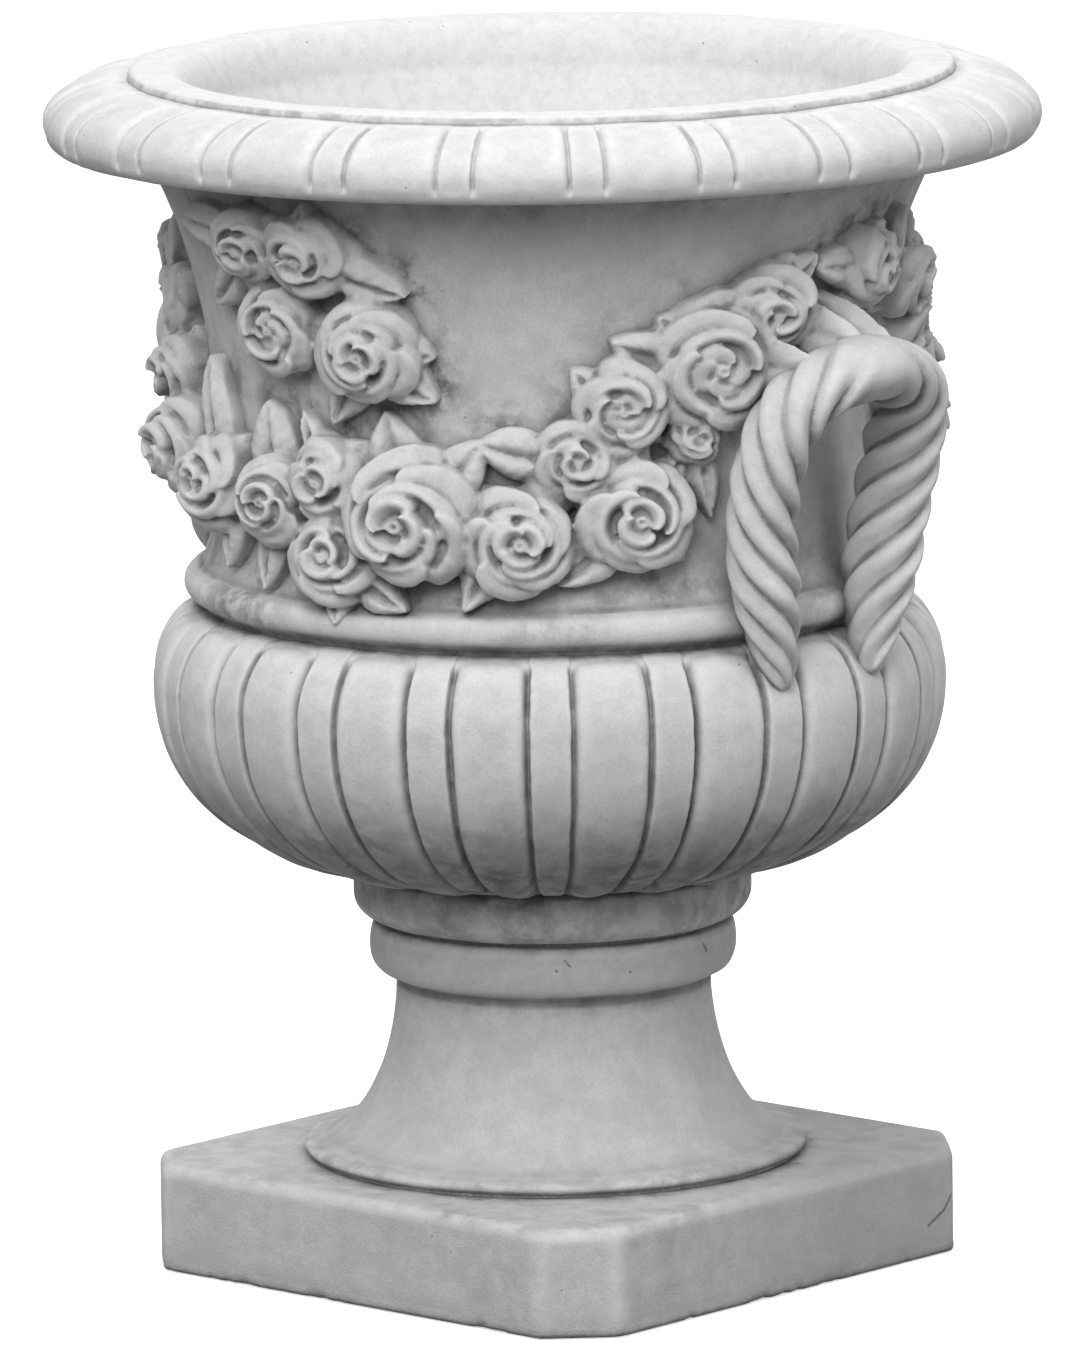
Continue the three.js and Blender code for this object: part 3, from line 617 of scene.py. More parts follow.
def wallStainAndShade(points):
    # dirt and painted shade beside the garlands, painted shadow under the rim, darker just above the band,
    # random dirt and painted shade on the band, and dirt and painted shade on the upper ring under the belly
    out = np.hypot(points[:, 0], points[:, 1])
    height = points[:, 2]
    onWall = (out > wallRadiusAt(height) - 8) * (height > bowl["bandBase"]) * (height < bowl["rimBase"] + 2)
    bearing = (bearingOf(points) + 90) % 180 - 90  # the same on both halves
    mottle = 1 + 0.5 * castNoise(points, 24, 51) + 0.3 * castNoise(points, 7, 52)
    beside = 0.95 - 0.5 * smoothStep(bearing, 40, 60) * smoothStep(height, 450, 490)
    # dirt and painted shade beside the roses and leaves
    stainAndShade = beside * np.exp(-(np.maximum(fromGarland(points), 0) / 11) ** 1.3) * mottle
    # painted shadow under the rim
    stainAndShade = np.maximum(stainAndShade, 0.75 * smoothStep(height, bowl["rimBase"] - 20, bowl["rimBase"]) * mottle)
    # darker just above the band
    overBand = 1 - smoothStep(height, bowl["bandTop"] + 5, bowl["bandTop"] + 50)
    stainAndShade = np.maximum(stainAndShade, 0.6 * overBand * mottle)
    band = (height > bowl["bandBase"] - 3) * (height < bowl["bandTop"] + 3)
    bandDirt = 0.35 * smoothStep(castNoise(points, 70, 53), 0.0, 0.5)
    # on the band: random dirt patches, and painted shade just below the garland, about 14 degrees left of the
    # front on each half
    stainAndShade = np.where(band, bandDirt + 0.8 * np.exp(-((bearing + 14) / 12) ** 2), stainAndShade)
    # dirt and painted shade on the upper ring under the belly
    ring = (height < bowl["bellyBase"] + 4) * (out > 80)
    ringDirtAndShade = 0.45 * mottle + 0.5 * smoothStep(height, bowl["bellyBase"] - 8, bowl["bellyBase"])
    return np.clip(np.where(ring, ringDirtAndShade, stainAndShade * onWall) + lipCreaseShade(points, 2), 0, 1)


def lipCreaseShade(points, reach):
    # painted shade in the groove where the flutes of the rim run up to the lip
    out = np.hypot(points[:, 0], points[:, 1])
    near = 1 - smoothStep(np.abs(out - bowl["lipRadius"]), 0.4 * reach, reach)
    near *= 1 - smoothStep(points[:, 2], bowl["top"] - 1.5, bowl["top"] - 0.3)
    return 0.5 * near * (points[:, 2] > bowl["rimTop"] - 4) * (1 + 0.4 * castNoise(points, 20, 62))


def makeBowl(materials):
    b = bowl
    outline = spacedOutline(coreCorners(), b["cornerSoftness"])
    points = turnedPoints(outline, b["columns"], [(60, 0.45), (18, 0.22), (6, 0.08)])
    points[:, 2] = np.clip(points[:, 2], b["base"], b["top"])
    core = newMesh("bowl_core", points, closedGrid(len(outline), b["columns"]))
    face = bellyFace()
    back = [(b["bellyNeck"] - 9, b["bellyTop"] + 1.5), (b["bellyRadius"] - 20, b["bellyLevel"]),
            (b["ringRadius"] - 12, b["bellyBase"] + 1)]
    belly = newMesh("bowl_belly", *flutedPoints(face, back, bellyFlutes, 3))
    under, top = rimFace()
    back = [(b["lipRadius"] - 6, b["rimTop"] - 1), (b["lipRadius"] - 9, b["rimWidest"]), *under]
    rim = newMesh("bowl_rim", *flutedPoints(top, back, rimFlutes, 9))
    depth = markHollows(core, 9)
    markHollows(belly)
    markHollows(rim)
    points = meshPoints(core)
    inside = np.hypot(points[:, 0], points[:, 1]) < wallRadiusAt(points[:, 2]) - 15
    # painted light: the upper inside wall is counted as an edge, so it takes the paler worn tone and sheds
    # the crease dirt
    paintedLightInside = inside * smoothStep(points[:, 2], 300, 420)
    storeMask(core, "hollow", depth - 3 * paintedLightInside)
    storeMask(core, "stainAndShade", wallStainAndShade(points))
    storeMask(rim, "stainAndShade", np.clip(lipCreaseShade(meshPoints(rim), 6), 0, 1))
    points = meshPoints(belly)
    # dirt and painted shade toward the bottom of the belly, and a smooth painted shade over its underside
    lowDirtAndShade = 0.8 * (1 - smoothStep(points[:, 2], 200, 276)) * (1 + 0.6 * castNoise(points, 16, 54))
    storeMask(belly, "stainAndShade", np.clip(lowDirtAndShade, 0, 1))
    storeMask(belly, "paintedShade", 0.8 * (1 - smoothStep(points[:, 2], 205, 262)))
    for mesh in (core, belly, rim):
        newPiece(mesh.name, mesh, materials[mesh.name], "bowl")


rope = {
    "width": 33, "depth": 43, "strands": 5, "lead": 108,
    "taperLength": 52, "tipShare": 0.15,
    "rowSpacing": 1.4, "sides": 96, "valley": 4.4, "lean": 0.42,
    "run": [(9, -20, 11.5), (10.5, 4, 11), (13.2, 58, 15.5), (13, 98, 25), (10, 124, 33), (0, 137, 38)],
}


def smoothCurve(knots, count):
    # an even run of points along a curve through the knots
    knots = np.array(knots, dtype=float)
    ends = np.vstack([2 * knots[0] - knots[1], knots, 2 * knots[-1] - knots[-2]])
    gaps = np.sqrt(np.linalg.norm(np.diff(ends, axis=0), axis=1))
    times = np.r_[0, np.cumsum(gaps)]
    parts = []
    for i in range(1, len(ends) - 2):
        p0, p1, p2, p3 = ends[i - 1:i + 3]
        t0, t1, t2, t3 = times[i - 1:i + 3]
        t = np.linspace(t1, t2, 60, endpoint=False)[:, None]
        a1 = (t1 - t) / (t1 - t0) * p0 + (t - t0) / (t1 - t0) * p1
        a2 = (t2 - t) / (t2 - t1) * p1 + (t - t1) / (t2 - t1) * p2
        a3 = (t3 - t) / (t3 - t2) * p2 + (t - t2) / (t3 - t2) * p3
        b1 = (t2 - t) / (t2 - t0) * a1 + (t - t0) / (t2 - t0) * a2
        b2 = (t3 - t) / (t3 - t1) * a2 + (t - t1) / (t3 - t1) * a3
        parts.append((t2 - t) / (t2 - t1) * b1 + (t - t1) / (t2 - t1) * b2)
    path = np.vstack([*parts, knots[-1:]])
    along = distanceAlong(path)
    even = np.linspace(0, along[-1], count)
    return np.stack([np.interp(even, along, path[:, axis]) for axis in range(3)], axis=1), along[-1]


def tubeAround(line, bow):
    # the ways outward and sideways from each point of a line that runs round the bowl; with bow
    # the outward way stays square to a line that also stands off the wall
    tangent = unit(np.gradient(line, axis=0))
    out = unit(line * np.array([1, 1, 0]))
    side = unit(np.cross(tangent, out))
    return np.cross(side, tangent) if bow else out, side


def ropePoints():
    r = rope
    halves = [[aroundBowl(90 + hand * turn, bowl["bellyTop"] + rise, bowl["bandRadius"] + out)
               for turn, rise, out in r["run"]] for hand in (-1, 1)]
    knots = halves[0][:-1] + halves[1][::-1]
    count = int(smoothCurve(knots, 2)[1] / r["rowSpacing"])
    line, length = smoothCurve(knots, count)
    out, side = tubeAround(line, True)
    place = np.linspace(0, length, count)[:, None]
    fromTop = np.abs(place - length / 2)
    toEnd = np.minimum(place, length - place)
    taper = r["tipShare"] + (1 - r["tipShare"]) * np.sqrt(np.minimum(toEnd / r["taperLength"], 1))
    turn = np.arange(r["sides"]) * 2 * np.pi / r["sides"]
    hand = np.where(place < length / 2, 1, -1)
    strand = (turn - fromTop / r["lead"] * 2 * np.pi) * r["strands"] / (2 * np.pi)
    within = (strand - np.floor(strand)) * 2 - 1
    leaning = within + r["lean"] * hand * (1 - within ** 2)
    sunk = r["valley"] * np.abs(leaning) ** 2.3 * smoothStep(fromTop, 3, 30)
    deep = (r["depth"] / 2 - sunk) * taper * np.cos(turn)
    wide = (r["width"] / 2 - sunk) * taper * np.sin(turn)
    points = line[:, None] + out[:, None] * deep[:, :, None] + side[:, None] * wide[:, :, None]
    normal = unit((points - line[:, None]).reshape(-1, 3))
    flat = points.reshape(-1, 3)
    wave = 0.35 * castNoise(flat, 14, 21) + 0.15 * castNoise(flat, 4, 22)
    flat = flat + normal * (wave - 0.4)[:, None]
    here, quads = openTube(count, r["sides"])
    first = len(flat)
    flat = np.vstack([flat, flat[:r["sides"]].mean(axis=0), flat[-r["sides"]:].mean(axis=0)])
    after = [(i + 1) % r["sides"] for i in range(r["sides"])]
    caps = [[here[0, after[i]], here[0, i], first] for i in range(r["sides"])]
    caps += [[here[-1, i], here[-1, after[i]], first + 1] for i in range(r["sides"])]
    return flat, quads, caps


def newRope(name, points, quads, caps, material, node):
    mesh = bpy.data.meshes.new(name)
    solid = facingOut(points, quads)
    capFaces = caps if solid is quads else [face[::-1] for face in caps]
    mesh.from_pydata(points * millimetre, [], solid.tolist() + capFaces)
    mesh.shade_smooth()
    markHollows(mesh)
    newPiece(name, mesh, material, node)


def makeRopes(material):
    points, quads, caps = ropePoints()
    newRope("rope_right", points, quads, caps, material, "rope_handle_right")
    newRope("rope_left", halfTurned(points), quads, caps, material, "rope_handle_left")


# bearing and height over the band, radius, stand off the wall; leaves as (pointing, reach, width)
swagRoses = [
    ((-78, 162), 19, 22, [(250, 31, 16), (175, 38, 20)]),
    ((-65, 151), 20, 24, [(110, 40, 22)]),
    ((-56, 126), 21, 25, [(30, 42, 22)]),
    ((-47, 97), 21, 27, [(210, 42, 22)]),
    ((-38, 65), 24, 32, [(230, 44, 24)]),
    ((-20.5, 53), 22, 29, [(101, 62, 26), (278, 43, 24)]),
    ((-4, 49), 22, 29, [(97, 50, 32), (262, 45, 22)]),
    ((8, 65), 20, 25, [(119, 36, 15)]),
    ((10, 24), 22, 26, [(329, 44, 20)]),
    ((24, 48), 31, 33, [(108, 54, 30), (51, 49, 24)]),
    ((40, 38), 25, 28, [(234, 43, 22)]),
    ((49.5, 76), 19, 22, [(169, 47, 26)]),
    ((59.5, 49), 26, 28, [(221, 52, 26)]),
    ((57, 103), 21, 24, []),
    ((72, 120), 30, 29, [(163, 52, 26)]),
    ((70, 84), 13, 18, [(280, 40, 15)]),
    ((82, 147), 21, 25, [(179, 50, 26), (45, 36, 18)]),
]
sprayRoses = [
    ((16.5, 134), 25, 27, [(317, 43, 26), (241, 50, 24)]),
    ((-0.5, 139), 22, 23, []),
    ((-3, 180), 19, 22, [(170, 58, 22), (220, 58, 24)]),
    ((8.5, 177), 21, 22, [(338, 52, 28)]),
]
# roses with a flat, wide-open heart
openRoses = [(57, 103), (72, 120), (-56, 126), (-0.5, 139)]
# leaves that rise from the wall over the rope's top: bearing, height, rise, pointing, length, width
ropeLeaves = [(74, 127, 52, 350, 38, 26), (84, 147, 40, 335, 28, 24), (91, 149, 44, 310, 26, 24)]
garland = {
    "voxel": 1.1, "melt": 2, "sunk": 5, "stemRadius": 13, "stemSides": 12,
    "tuckedLeaves": 4, "triangles": 190000,
}

# each ring of petals: half width in degrees, where it starts and its lip (shares of the rose's
# radius), crest height, drop to the groove, drop to the lip and tilt (shares of the rose's stand),
# where the crest lies across the petal, and how far the petal swirls outward
petalRings = [
    (1.25, 0.6, 1.14, 0.76, 0.38, 0.28, 0.14, 0.5, 0.1),
    (1.35, 0.42, 0.82, 0.92, 0.36, 0.2, 0.09, 0.6, 0.13),
    (1.25, 0.13, 0.52, 1.08, 0.3, 0.1, 0.05, 0.72, 0.16),
]
openHeart = (1.3, 0.12, 0.5, 0.86, 0.1, 0.06, 0.05, 0.6, 0.2)
# outlines turned about the rose's own axis, as shares of its radius and stand
closedBud = [(0, 0.9), (0.03, 0.92), (0.08, 1.0), (0.12, 0.96), (0.15, 0.85), (0.16, 0.4), (0, 0.4)]
openBud = [
    (0, 0.84), (0.03, 0.86), (0.08, 0.94), (0.12, 0.84), (0.3, 0.76), (0.5, 0.7), (0.54, 0.3), (0, 0.3),
]
roseHead = [(0, 0.8), (0.45, 0.7), (0.66, 0.56), (0.86, 0.38), (0.92, 0.1)]


def closedSheets(front, back):
    # closes two grids of points, one behind the other, into one solid
    rows, columns = front.shape[:2]
    points = np.vstack([front.reshape(-1, 3), back.reshape(-1, 3)])
    behind = rows * columns
    here = np.arange(behind).reshape(rows, columns)
    face = np.stack([here[:-1, :-1], here[:-1, 1:], here[1:, 1:], here[1:, :-1]], axis=-1).reshape(-1, 4)
    loop = np.r_[here[0, :], here[1:, -1], here[-1, -2::-1], here[-2:0:-1, 0]]
    ahead = np.roll(loop, -1)
    rim = np.stack([loop, loop + behind, ahead + behind, ahead], axis=-1)
    return points, np.vstack([face, face[:, [0, 3, 2, 1]] + behind, rim])


def petalShape(turn, halfWidth, start, lip, height, sink, roll, tilt, crest, swirl, point, foot):
    # a cupped petal: it climbs from the groove beside the petals inside it to a full crest and
    # rolls over to its lip; one end runs in behind its neighbour and the other comes out over it
    v = np.linspace(0, 1, 16)[:, None]
    u = np.linspace(-1, 1, 25)[None, :]
    width = (lip - start) * (1 - 0.2 * np.abs(u - point) ** 1.4 - 0.25 * u ** 6)
    radius = (start + width * v) * (1 + swirl * u)
    inside = np.clip(1 - v / crest, 0, 1)
    outside = np.clip((v - crest) / (1 - crest), 0, 1)
    tucked = np.sign(swirl) * u
    level = height - sink * inside ** 1.6 - roll * (0.65 + 0.5 * tucked) * outside ** 2 - tilt * tucked
    angle = turn + halfWidth * u

    def sheet(radii, levels):
        parts = np.broadcast_arrays(radii * np.cos(angle), radii * np.sin(angle), levels)
        return np.stack(parts, axis=-1)

    return closedSheets(sheet(radius, level), sheet(radius * 0.95, foot + 0 * level))


def latheShape(outline, columns=32):
    turn = np.arange(columns) * 2 * np.pi / columns
    rings = [np.column_stack([r * np.cos(turn), r * np.sin(turn), np.full(columns, z)]) for r, z in outline]
    return np.vstack(rings), closedGrid(len(outline), columns)


def roseShapes(radius, stand, seed, wideOpen=False, facing=0.0):
    # an open rose seen face on: bud, rings of overlapping petals, and the head behind them;
    # facing turns it, in degrees, toward the bowl's front
    chance = np.random.default_rng(seed)
    sunk = -garland["sunk"]
    shapes = [latheShape([(r * radius, z * stand) for r, z in (openBud if wideOpen else closedBud)])]
    foot = [(0.9 * radius, sunk), (0, sunk)]
    shapes.append(latheShape([(r * radius, z * stand) for r, z in roseHead] + foot))
    turn = chance.uniform(0, 2 * np.pi)
    hand = chance.choice([-1, 1])
    rings = petalRings[:2] + [openHeart] if wideOpen else petalRings
    for ring, (overlap, start, lip, height, sink, roll, tilt, crest, swirl) in enumerate(rings):
        turn += chance.uniform(0.5, 1.3)
        count = (chance.integers(4, 6), 3, 4 if wideOpen else chance.integers(2, 4))[ring]
        for petal in range(count):
            angle = turn + petal * 2 * np.pi / count + chance.uniform(-0.2, 0.2)
            shapes.append(petalShape(
                angle, min(overlap * np.pi / count, 1.5) * chance.uniform(0.92, 1.15), start * radius,
                lip * radius * chance.uniform(0.9, 1.04), height * stand * chance.uniform(0.94, 1.05),
                sink * stand, roll * stand, tilt * stand * chance.uniform(0.7, 1.5), crest,
                hand * swirl * chance.uniform(0.8, 1.2), chance.uniform(-0.4, 0.4),
                0.4 * height * stand if ring else sunk))
    tilt = chance.uniform(-0.18, 0.18, 2) * radius / stand
    for points, _ in shapes:
        rise = np.clip(points[:, 2] / stand, 0, 1)
        points[:, 2] += rise * points[:, 0] * math.tan(math.radians(facing))
        points[:, 0] -= rise * stand * math.sin(math.radians(facing))
        points[:, :2] += rise[:, None] * stand * tilt
    return shapes


def leafShape(stalk, tip, width, seed, stand=6.5):
    # a pointed leaf along X: two swelling halves beside a sunk middle vein, its back in the wall
    chance = np.random.default_rng(seed)
    t = np.linspace(0, 1, 28)[:, None]
    u = np.linspace(-1, 1, 25)[None, :]
    half = width / 2 * np.sin(np.pi * t ** chance.uniform(0.65, 0.85)) ** 0.8
    half = np.maximum(half, 0.5)
    veins = 0.3 * np.sin((t * 6 - np.abs(u) * 1.4) * 2 * np.pi) * np.minimum(np.abs(u) * 3, 1)
    swelling = chance.uniform(3.6, 5.0) * np.sin(np.pi * np.abs(u) ** 0.8)
    curl = chance.uniform(-1.0, 2.0) * u
    crown = stand + swelling + curl + chance.uniform(0, 2.5) * np.sin(np.pi * t) - 2.5 * t ** 3 + veins
    x = stalk + (tip - stalk) * t + 0 * u
    y = half * u + chance.uniform(-0.12, 0.12) * width * np.sin(np.pi * t)
    front = np.stack([x, y, crown + 0 * x], axis=-1)
    back = np.stack([x, y * 0.92, np.full_like(x, -garland["sunk"])], axis=-1)
    return closedSheets(front, back)


def onWall(points, bearing, height, pointing=0.0):
    # sets a shape drawn face up onto the wall, bent round it
    turn = math.radians(pointing)
    x = points[:, 0] * math.cos(turn) - points[:, 1] * math.sin(turn)
    y = points[:, 0] * math.sin(turn) + points[:, 1] * math.cos(turn)
    off = points[:, 2]
    slope = (wallRadiusAt(height + 1.0) - wallRadiusAt(height - 1.0)) / 2
    steep = math.hypot(1, slope)
    level = height + (y - off * slope) / steep
    base = wallRadiusAt(height + y / steep)
    radius = base + off / steep
    return aroundBowl(bearing + np.degrees(x / (base + 0.35 * off)), level, radius)


def garlandShapes(roses, seed):
    # every rose and leaf of a garland, already on the wall
    for i, ((bearing, rise), radius, stand, leaves) in enumerate(roses):
        height = bowl["bandTop"] + rise
        wideOpen = (bearing, rise) in openRoses
        facing = 0.6 * max(bearing - 50, 0) - float(np.clip(0.35 * (25 - bearing), 0, 15))
        for part, quads in roseShapes(radius, stand, seed + i, wideOpen, facing):
            yield onWall(part, bearing, height), quads
        chance = np.random.default_rng(seed + 500 + i)
        start = chance.uniform(0, 360)
        for k, (pointing, reach, width) in enumerate(leaves):
            part, quads = leafShape(radius * 0.45, reach, width, seed + 50 + 3 * i + k)
            yield onWall(part, bearing, height, pointing), quads
        for k in range(garland["tuckedLeaves"]):
            pointing = start + k * 360 / garland["tuckedLeaves"] + chance.uniform(-25, 25)
            reach = radius * chance.uniform(1.2, 1.42)
            part, quads = leafShape(radius * 0.5, reach, radius * 0.85, seed + 600 + 5 * i + k, 3.5)
            yield onWall(part, bearing, height, pointing), quads
    if roses is swagRoses:
        for i, (bearing, rise, lift, pointing, length, width) in enumerate(ropeLeaves):
            part, quads = leafShape(0, length, width, seed + 900 + i, 3.0)
            climb = lift * smoothStep(part[:, 0], 0, 0.85 * length)
            part[:, 2] = np.maximum(part[:, 2] + climb, -garland["sunk"])
            yield onWall(part, bearing, bowl["bandTop"] + rise, pointing), quads
    yield stemShape(roses)


def makeGarland(name, roses, seed):
    points, faces, count = [], [], 0
    for part, quads in garlandShapes(roses, seed):
        points.append(part)
        faces.append(facingOut(part, quads) + count)
        count += len(part)
    mesh = melted(newMesh(name + "_rough", np.vstack(points), np.vstack(faces)))
    # the small unevenness of a mould that was carved by hand
    points = meshPoints(mesh)
    wave = 0.8 * castNoise(points, 11, 41) + 0.3 * castNoise(points, 4.5, 42)
    movePoints(mesh, points + readVectors(mesh, "normal") * wave[:, None])
    markHollows(mesh)
    mesh = withoutStrayFaces(thinned(mesh))
    mesh.name = name
    return mesh


def stemShape(roses):
    # the stalk that the roses stand on
    levels = [bowl["bandTop"] + at[1] for at, *_ in roses]
    middles = [aroundBowl(at[0], level, wallRadiusAt(level) + 2) for (at, *_), level in zip(roses, levels)]
    line, _ = smoothCurve(middles, 12 * len(middles))
    out, side = tubeAround(line, False)
    sides = garland["stemSides"]
    turn = np.arange(sides) * 2 * np.pi / sides
    radius = garland["stemRadius"] * (1 + 0.2 * castNoise(line, 15, 40))[:, None]
    radius[[0, -1]] = 0.3
    deep, wide = 0.8 * radius * np.cos(turn), radius * np.sin(turn)
    points = line[:, None] + out[:, None] * deep[:, :, None] + side[:, None] * wide[:, :, None]
    here, quads = openTube(len(line), sides)
    i = np.arange(sides // 2 - 1)
    strip = np.stack([i, i + 1, sides - 2 - i, sides - 1 - i], axis=1)
    return points.reshape(-1, 3), np.vstack([quads, here[0][strip][:, ::-1], here[-1][strip]])


def melted(rough):
    # joins everything into one skin and softens it, as casting does
    holder = newObject(rough.name, rough)
    remesh = holder.modifiers.new("join", "REMESH")
    remesh.mode = "VOXEL"
    remesh.voxel_size = garland["voxel"] * millimetre
    soften = holder.modifiers.new("soften", "SMOOTH")
    soften.factor = 0.5
    soften.iterations = garland["melt"]
    return appliedModifiers(holder)


def withoutStrayFaces(mesh):
    # a speck that was thinned to nothing leaves a doubled face: both of its copies go
    mesh.validate()
    work = bmesh.new()
    work.from_mesh(mesh)
    stray = [face for face in work.faces if all(edge.is_boundary for edge in face.edges)]
    bmesh.ops.delete(work, geom=stray, context="FACES")
    work.to_mesh(mesh)
    work.free()
    return mesh


def thinned(mesh):
    # the same skin in fewer faces
    holder = newObject("thinned", mesh)
    fewer = holder.modifiers.new("fewer", "DECIMATE")
    fewer.ratio = min(1, garland["triangles"] / (2 * len(mesh.polygons)))
    return appliedModifiers(holder)


def makeRoses(material):
    for kind, roses, seed in (("rose_swag", swagRoses, 100), ("rose_spray", sprayRoses, 200)):
        front = makeGarland(kind + "_front_stone", roses, seed)
        back = front.copy()
        back.name = kind + "_back_stone"
        movePoints(back, halfTurned(meshPoints(back)))
        newPiece(front.name, front, material, kind + "_front")
        newPiece(back.name, back, material, kind + "_back")


pedestal = {
    "base": 56, "footRadius": 125.3, "footEdge": 4, "neckRadius": 78.6, "neckHeight": 84,
    "ringRadius": 91.4, "ringHeight": 28, "ringSeat": 88, "boreRadius": 16.3,
    "columns": 360, "faceSpacing": 2.2, "hiddenSpacing": 12, "cornerSoftness": 0.9,
    # marks on the ring: both ends, and the width
    "knocks": [
        ((64.9, -64.3, 166.5), (67.0, -62.2, 163.5), 1.2), ((62.1, -67.1, 161.5), (62.3, -66.9, 161.0), 1.1),
        ((83.7, -36.7, 158.9), (83.9, -36.3, 158.6), 1.1), ((90.9, 10.5, 167.5), (90.3, 13.2, 163.0), 1.9),
    ],
}


def makePedestal(material):
    p = pedestal
    neckBase = p["base"] + p["footEdge"]
    ringBase = neckBase + p["neckHeight"]
    top = ringBase + p["ringHeight"]
    flare = []
    for rise in np.linspace(0, p["neckHeight"], 30):
        fall = 1 - rise / p["neckHeight"]
        radius = p["footRadius"] - (p["footRadius"] - p["neckRadius"]) * math.sqrt(1 - fall * fall)
        flare.append((radius, neckBase + rise, p["faceSpacing"]))
    middle = ringBase + 0.55 * p["ringHeight"]
    ring = []
    for t in np.radians(np.linspace(-75, 90, 14)):
        depth = p["ringRadius"] - (p["neckRadius"] + 6 if t < 0 else p["ringSeat"])
        radius = p["ringRadius"] - depth * (1 - math.cos(t))
        ring.append((radius, middle + 0.45 * p["ringHeight"] * math.sin(t), 1.5))
    corners = [
        (p["boreRadius"], p["base"], p["hiddenSpacing"]), (p["footRadius"], p["base"], 1.4), *flare, *ring,
        (p["ringSeat"], top, p["hiddenSpacing"]), (p["boreRadius"], top, p["hiddenSpacing"]),
    ]
    outline = spacedOutline(corners, p["cornerSoftness"])
    outline[:, 1] = np.clip(outline[:, 1], p["base"], top)
    points = turnedPoints(outline, p["columns"], [(50, 0.4), (16, 0.2), (6, 0.07)])
    mesh = newMesh("pedestal_stone", points, closedGrid(len(outline), p["columns"]))
    markHollows(mesh, 9)
    # darker on the foot, just under the ring and at the seat: dirt and painted shade
    mottle = 1 + 0.6 * castNoise(points, 22, 55) + 0.3 * castNoise(points, 6, 56)
    foot = 1 - smoothStep(points[:, 2], neckBase - 1, neckBase + 5)
    underRing = smoothStep(points[:, 2], ringBase - 12, ringBase) * (points[:, 2] < ringBase + 3)
    seat = smoothStep(points[:, 2], top - 5, top)
    storeMask(mesh, "stainAndShade", np.clip((0.45 * foot + 0.6 * underRing + 0.7 * seat) * mottle, 0, 1))
    # painted shade on the neck's side right of the front, fading out toward the ring
    storeMask(mesh, "paintedShade", 0.9 * paintedShadeSide(points) * (1 - smoothStep(points[:, 2], neckBase, ringBase)))
    newPiece(mesh.name, mesh, material, "pedestal")


plinth = {
    "side": 308, "height": 54, "cornerCut": 28.5, "topRound": 7, "bottomRound": 2.5, "boreRadius": 16.3,
    "cornerSoftness": 2.0, "edgeSteps": 440, "faceSpacing": 2.4,
    # a scratch in two runs: both ends, and the width
    "scratches": [
        ((153.6, 106.2, 16.0), (153.6, 117.9, 21.7), 1.5), ((153.6, 117.9, 21.7), (153.6, 123.4, 28.4), 1.4),
    ],
}


def paintedShadeSide(points):
    # painted shade, darker toward the side right of the front
    across = 0.743 * points[:, 0] + 0.669 * points[:, 1] + 8 * castNoise(points, 30, 61)
    return smoothStep(across, 40, 150)


def plinthEdge():
    # the outline seen from above, in even steps, with its eight corners a little softened
    p = plinth
    half = p["side"] / 2
    cut = half - p["cornerCut"]
    corners = []
    for quarter in range(5):
        turn = quarter * math.pi / 2
        for x, y in ((half, -cut), (half, cut)):
            corners.append((x * math.cos(turn) - y * math.sin(turn), x * math.sin(turn) + y * math.cos(turn)))
    corners = np.array(corners[:9])
    along = distanceAlong(corners)
    step = along[-1] / p["edgeSteps"]
    return np.stack(softened(corners, along, p["edgeSteps"], step, p["cornerSoftness"]), axis=1)


def makePlinth(material):
    p = plinth
    edge = plinthEdge()
    outward = outlineNormals(edge)
    bearing = np.arctan2(edge[:, 1], edge[:, 0])
    bore = np.stack([np.cos(bearing), np.sin(bearing)], axis=1) * p["boreRadius"]
    rings = []

    def ringAt(inset, height):
        rings.append(np.column_stack([edge - outward * inset, np.full(len(edge), height)]))

    def towardBore(share, height):
        inside = edge - outward * p["topRound"]
        rings.append(np.column_stack([bore + (inside - bore) * share, np.full(len(edge), height)]))

    for share in np.linspace(0, 0.94, 6):
        towardBore(share, 0.0)
    for t in np.radians(np.linspace(0, 90, 4)):
        ringAt(p["bottomRound"] * (1 - math.sin(t)), p["bottomRound"] * (1 - math.cos(t)))
    sideRows = int((p["height"] - p["topRound"] - p["bottomRound"]) / p["faceSpacing"])
    for height in np.linspace(p["bottomRound"], p["height"] - p["topRound"], sideRows)[1:-1]:
        ringAt(0.0, height)
    for t in np.radians(np.linspace(0, 90, 9)):
        ringAt(p["topRound"] * (1 - math.cos(t)), p["height"] - p["topRound"] * (1 - math.sin(t)))
    for share in np.linspace(0.98, 0, 42):
        towardBore(share, p["height"])
    points = roughenedSlab(np.vstack(rings))
    mesh = newMesh("plinth_stone", points, closedGrid(len(rings), len(edge)))
    markHollows(mesh, 9)
    out = np.hypot(points[:, 0], points[:, 1])
    mottle = 1 + 0.6 * castNoise(points, 20, 57) + 0.4 * castNoise(points, 6, 58)
    # darker round the pedestal's foot: dirt and painted shade
    roundFoot = (points[:, 2] > 40) * np.exp(-np.clip((out - pedestal["footRadius"]) / 7, 0, 9))
    # random dirt splashes, and painted shade along the top
    splashedAndShaded = 0.16 * smoothStep(castNoise(points, 50, 59), 0.0, 0.6)
    splashedAndShaded = splashedAndShaded + 0.22 * smoothStep(points[:, 2], p["height"] - 5, p["height"])
    storeMask(mesh, "stainAndShade", np.clip(np.maximum(0.8 * roundFoot, splashedAndShaded) * mottle, 0, 1))
    # painted shade on the side right of the front, stronger on the top
    upward = smoothStep(points[:, 2], p["height"] - 6, p["height"])
    storeMask(mesh, "paintedShade", paintedShadeSide(points) * (0.4 + 0.45 * upward))
    newPiece(mesh.name, mesh, material, "plinth")


